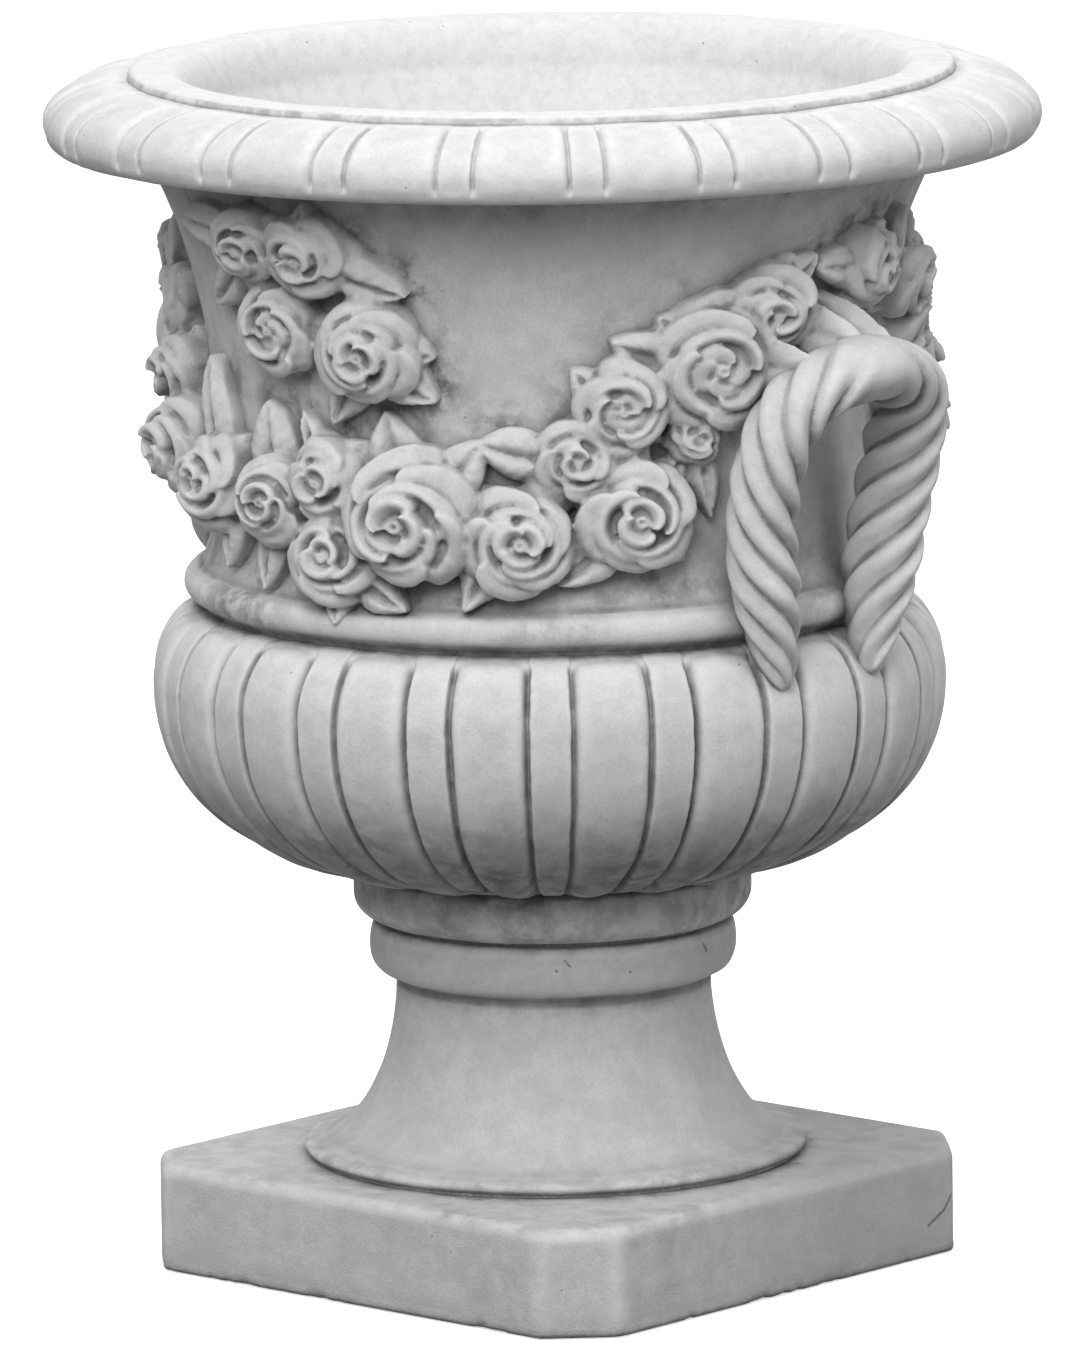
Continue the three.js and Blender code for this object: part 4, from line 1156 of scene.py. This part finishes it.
def roughenedSlab(points):
    # waviness and chipped arrises, all cut inward so that the slab keeps its size
    p = plinth
    half = p["side"] / 2
    fromSide = half - np.max(np.abs(points[:, :2]), axis=1)
    wave = 0.25 * (castNoise(points, 45, 31) + 1) + 0.15 * (castNoise(points, 9, 32) + 1)
    onSide = smoothStep(12 - fromSide, 0, 10) * smoothStep(points[:, 2], 1, 5)
    onSide *= smoothStep(p["height"] - points[:, 2], 1, 6)
    scale = 1 - wave * 0.55 * onSide / half
    points = points * np.column_stack([scale, scale, np.ones(len(points))])
    lowEdge = np.exp(-(points[:, 2] / 3.5) ** 2) * smoothStep(8 - fromSide, 0, 6)
    chips = np.clip(castNoise(points, 13, 33) * 0.9 + castNoise(points, 5, 34) * 0.5 - 0.1, 0, 1)
    scale = 1 - 1.8 * chips * lowEdge / half
    points[:, :2] *= scale[:, None]
    points[:, 2] += 0.9 * chips * lowEdge * (points[:, 2] < 6)
    top = smoothStep(points[:, 2], p["height"] - 1, p["height"])
    points[:, 2] -= top * 0.2 * (castNoise(points, 30, 35) + 1)
    return points


view = {
    "azimuth": 42, "distance": 6.6268, "height": 1.4572, "aim": 0.29469, "roll": -0.78,
    "lens": 361.3, "shiftX": -0.00703, "shiftY": -0.0022,
}
sky = {"zenith": 1.25, "horizon": 0.08}
# name, azimuth and elevation in degrees, distance and width in metres, power in watts
lamps = [
    ("front_left", 31, 33, 3.4, 2.0, 60), ("back_right", 205, 28, 3.4, 2.6, 26),
    ("right_low", 115, 6, 3.4, 2.4, 11),
]
floorPaint = {"shade": 0.9, "glow": 0.6, "bounce": 0.09, "halfWidth": 9.0, "drop": 0.0005}


def makeCamera():
    camera = bpy.data.cameras.new("camera")
    camera.lens = view["lens"]
    camera.shift_x = view["shiftX"]
    camera.shift_y = view["shiftY"]
    camera.clip_end = 30
    holder = newObject("camera", camera)
    turn = math.radians(view["azimuth"])
    place = Vector((view["distance"] * math.sin(turn), -view["distance"] * math.cos(turn), view["height"]))
    aim = Vector((0, 0, view["aim"])) - place
    facing = aim.to_track_quat("-Z", "Y").to_matrix().to_4x4()
    roll = Matrix.Rotation(math.radians(view["roll"]), 4, "Z")
    holder.matrix_world = Matrix.Translation(place) @ facing @ roll
    bpy.context.scene.camera = holder


def addLamp(name, azimuth, elevation, distance, size, power):
    lamp = bpy.data.lights.new(name, "AREA")
    lamp.shape = "DISK"
    lamp.size = size
    lamp.energy = power
    holder = newObject(name, lamp)
    turn, tilt = math.radians(azimuth), math.radians(elevation)
    middle = Vector((0, 0, 0.35))
    way = Vector((math.sin(turn) * math.cos(tilt), -math.cos(turn) * math.cos(tilt), math.sin(tilt)))
    holder.location = middle + way * distance
    holder.rotation_euler = (-way).to_track_quat("-Z", "Y").to_euler()


def seenOrElse(tree, seen, otherwise, outputKind):
    # what the camera, gloss and glass see, and what lights everything else
    rays = addNode(tree, "ShaderNodeLightPath").outputs
    share = mathOf(tree, "MAXIMUM", rays["Is Glossy Ray"], rays["Is Transmission Ray"])
    share = mathOf(tree, "MAXIMUM", rays["Is Camera Ray"], share)
    inputs = {"Fac": share, 1: otherwise.outputs[0], 2: seen.outputs[0]}
    mixed = addNode(tree, "ShaderNodeMixShader", inputs)
    addNode(tree, outputKind, {"Surface": mixed.outputs[0]})


def makeWorld():
    world = bpy.data.worlds.new("studio")
    bpy.context.scene.world = world
    world.use_nodes = True
    tree = world.node_tree
    tree.nodes.clear()
    way = addNode(tree, "ShaderNodeTexCoord").outputs["Generated"]
    upward = addNode(tree, "ShaderNodeSeparateXYZ", {"Vector": way}).outputs["Z"]
    strength = addNode(tree, "ShaderNodeMapRange", {
        "Value": upward, "From Min": 0.0, "From Max": 1.0,
        "To Min": sky["horizon"], "To Max": sky["zenith"]}).outputs["Result"]
    dome = addNode(tree, "ShaderNodeBackground", {"Color": grey(1.0), "Strength": strength})
    white = addNode(tree, "ShaderNodeBackground", {"Color": grey(1.0), "Strength": 1.0})
    seenOrElse(tree, white, dome, "ShaderNodeOutputWorld")


def makeFloor():
    size = floorPaint["halfWidth"]
    mesh = bpy.data.meshes.new("floor")
    corners = [(-size, -size, 0), (size, -size, 0), (size, size, 0), (-size, size, 0)]
    mesh.from_pydata(corners, [], [(0, 1, 2, 3)])
    floor = newObject("floor", mesh)
    floor.location.z = -floorPaint["drop"]
    material = bpy.data.materials.new("floor_paint")
    material.use_nodes = True
    tree = material.node_tree
    tree.nodes.clear()
    paint = addNode(tree, "ShaderNodeBsdfDiffuse", {"Color": grey(floorPaint["shade"])})
    glow = addNode(tree, "ShaderNodeEmission", {"Color": grey(1.0), "Strength": floorPaint["glow"]})
    lit = addNode(tree, "ShaderNodeAddShader", {0: paint.outputs[0], 1: glow.outputs[0]})
    bounce = addNode(tree, "ShaderNodeBsdfDiffuse", {"Color": grey(floorPaint["bounce"])})
    seenOrElse(tree, lit, bounce, "ShaderNodeOutputMaterial")
    mesh.materials.append(material)


# for the nodes that keep their own solids: name, tone, roughness, metallic, grain scale, grain depth
keptFinishes = {
    "mortar_bed": ("raked_mortar", 0.42, 0.92, 0.0, 500.0, 0.0008),
    "drain": ("grey_drain_pipe", 0.14, 0.5, 0.0, 220.0, 0.0002),
    "dowel": ("drawn_steel", 0.5, 0.4, 1.0, 300.0, 0.0001),
    "handle_bar": ("bent_steel", 0.5, 0.42, 1.0, 260.0, 0.0001),
}


def plainFinish(name, tone, roughness, metallic, grainScale, grainDepth):
    material = bpy.data.materials.new(name)
    material.use_nodes = True
    tree = material.node_tree
    speckle = noiseOf(tree, objectPlace(tree), grainScale, 4.0, 0.6)
    finish = {
        "Base Color": mixOf(tree, rangeOf(tree, speckle, 0.3, 0.7), grey(tone * 0.7), grey(tone * 1.15)),
        "Roughness": rangeOf(tree, speckle, 0.3, 0.7, roughness + 0.06, roughness - 0.06),
        "Metallic": metallic, "Normal": bumpOf(tree, speckle, 0.6, grainDepth),
    }
    setInputs(tree, tree.nodes["Principled BSDF"], finish)
    return material


def finishKeptNodes():
    for start, settings in keptFinishes.items():
        material = plainFinish(*settings)
        for name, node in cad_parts.items():
            if name.startswith(start):
                for slot in node.material_slots:
                    slot.material = material


stones = {
    "bowl_core": castStone("stone_bowl_wall", 1.5, 1.0, 0.92, ["stainAndShade"]),
    "bowl_belly": castStone("stone_belly", 2.0, 2.0, 0.9, ["stainAndShade", "paintedShade"]),
    "bowl_rim": castStone("stone_rim", 2.0, 1.4, 0.5, ["stainAndShade"]),
    "rope": castStone("stone_rope", 1.8, 1.5, 0.85),
    "roses": castStone("stone_roses", 1.3, 1.2, 0.85),
    # the pedestal and plinth take a darker tone: painted shade for the lower stones
    "pedestal": castStone("stone_pedestal", 1.5, 1.0, 0.8, ["stainAndShade", "paintedShade"], 0.86, pedestal["knocks"]),
    "plinth": castStone("stone_plinth", 1.5, 1.2, 0.8, ["stainAndShade", "paintedShade"], 0.88, plinth["scratches"]),
}
print("stone ready")
makeBowl(stones)
print("bowl ready")
makePedestal(stones["pedestal"])
makePlinth(stones["plinth"])
print("pedestal and plinth ready")
makeRopes(stones["rope"])
print("ropes ready")
makeRoses(stones["roses"])
print("roses ready")
finishKeptNodes()
makeCamera()
makeWorld()
for lamp in lamps:
    addLamp(*lamp)
makeFloor()
bpy.context.scene.view_settings.view_transform = "Standard"
print("finishes, camera and light ready")
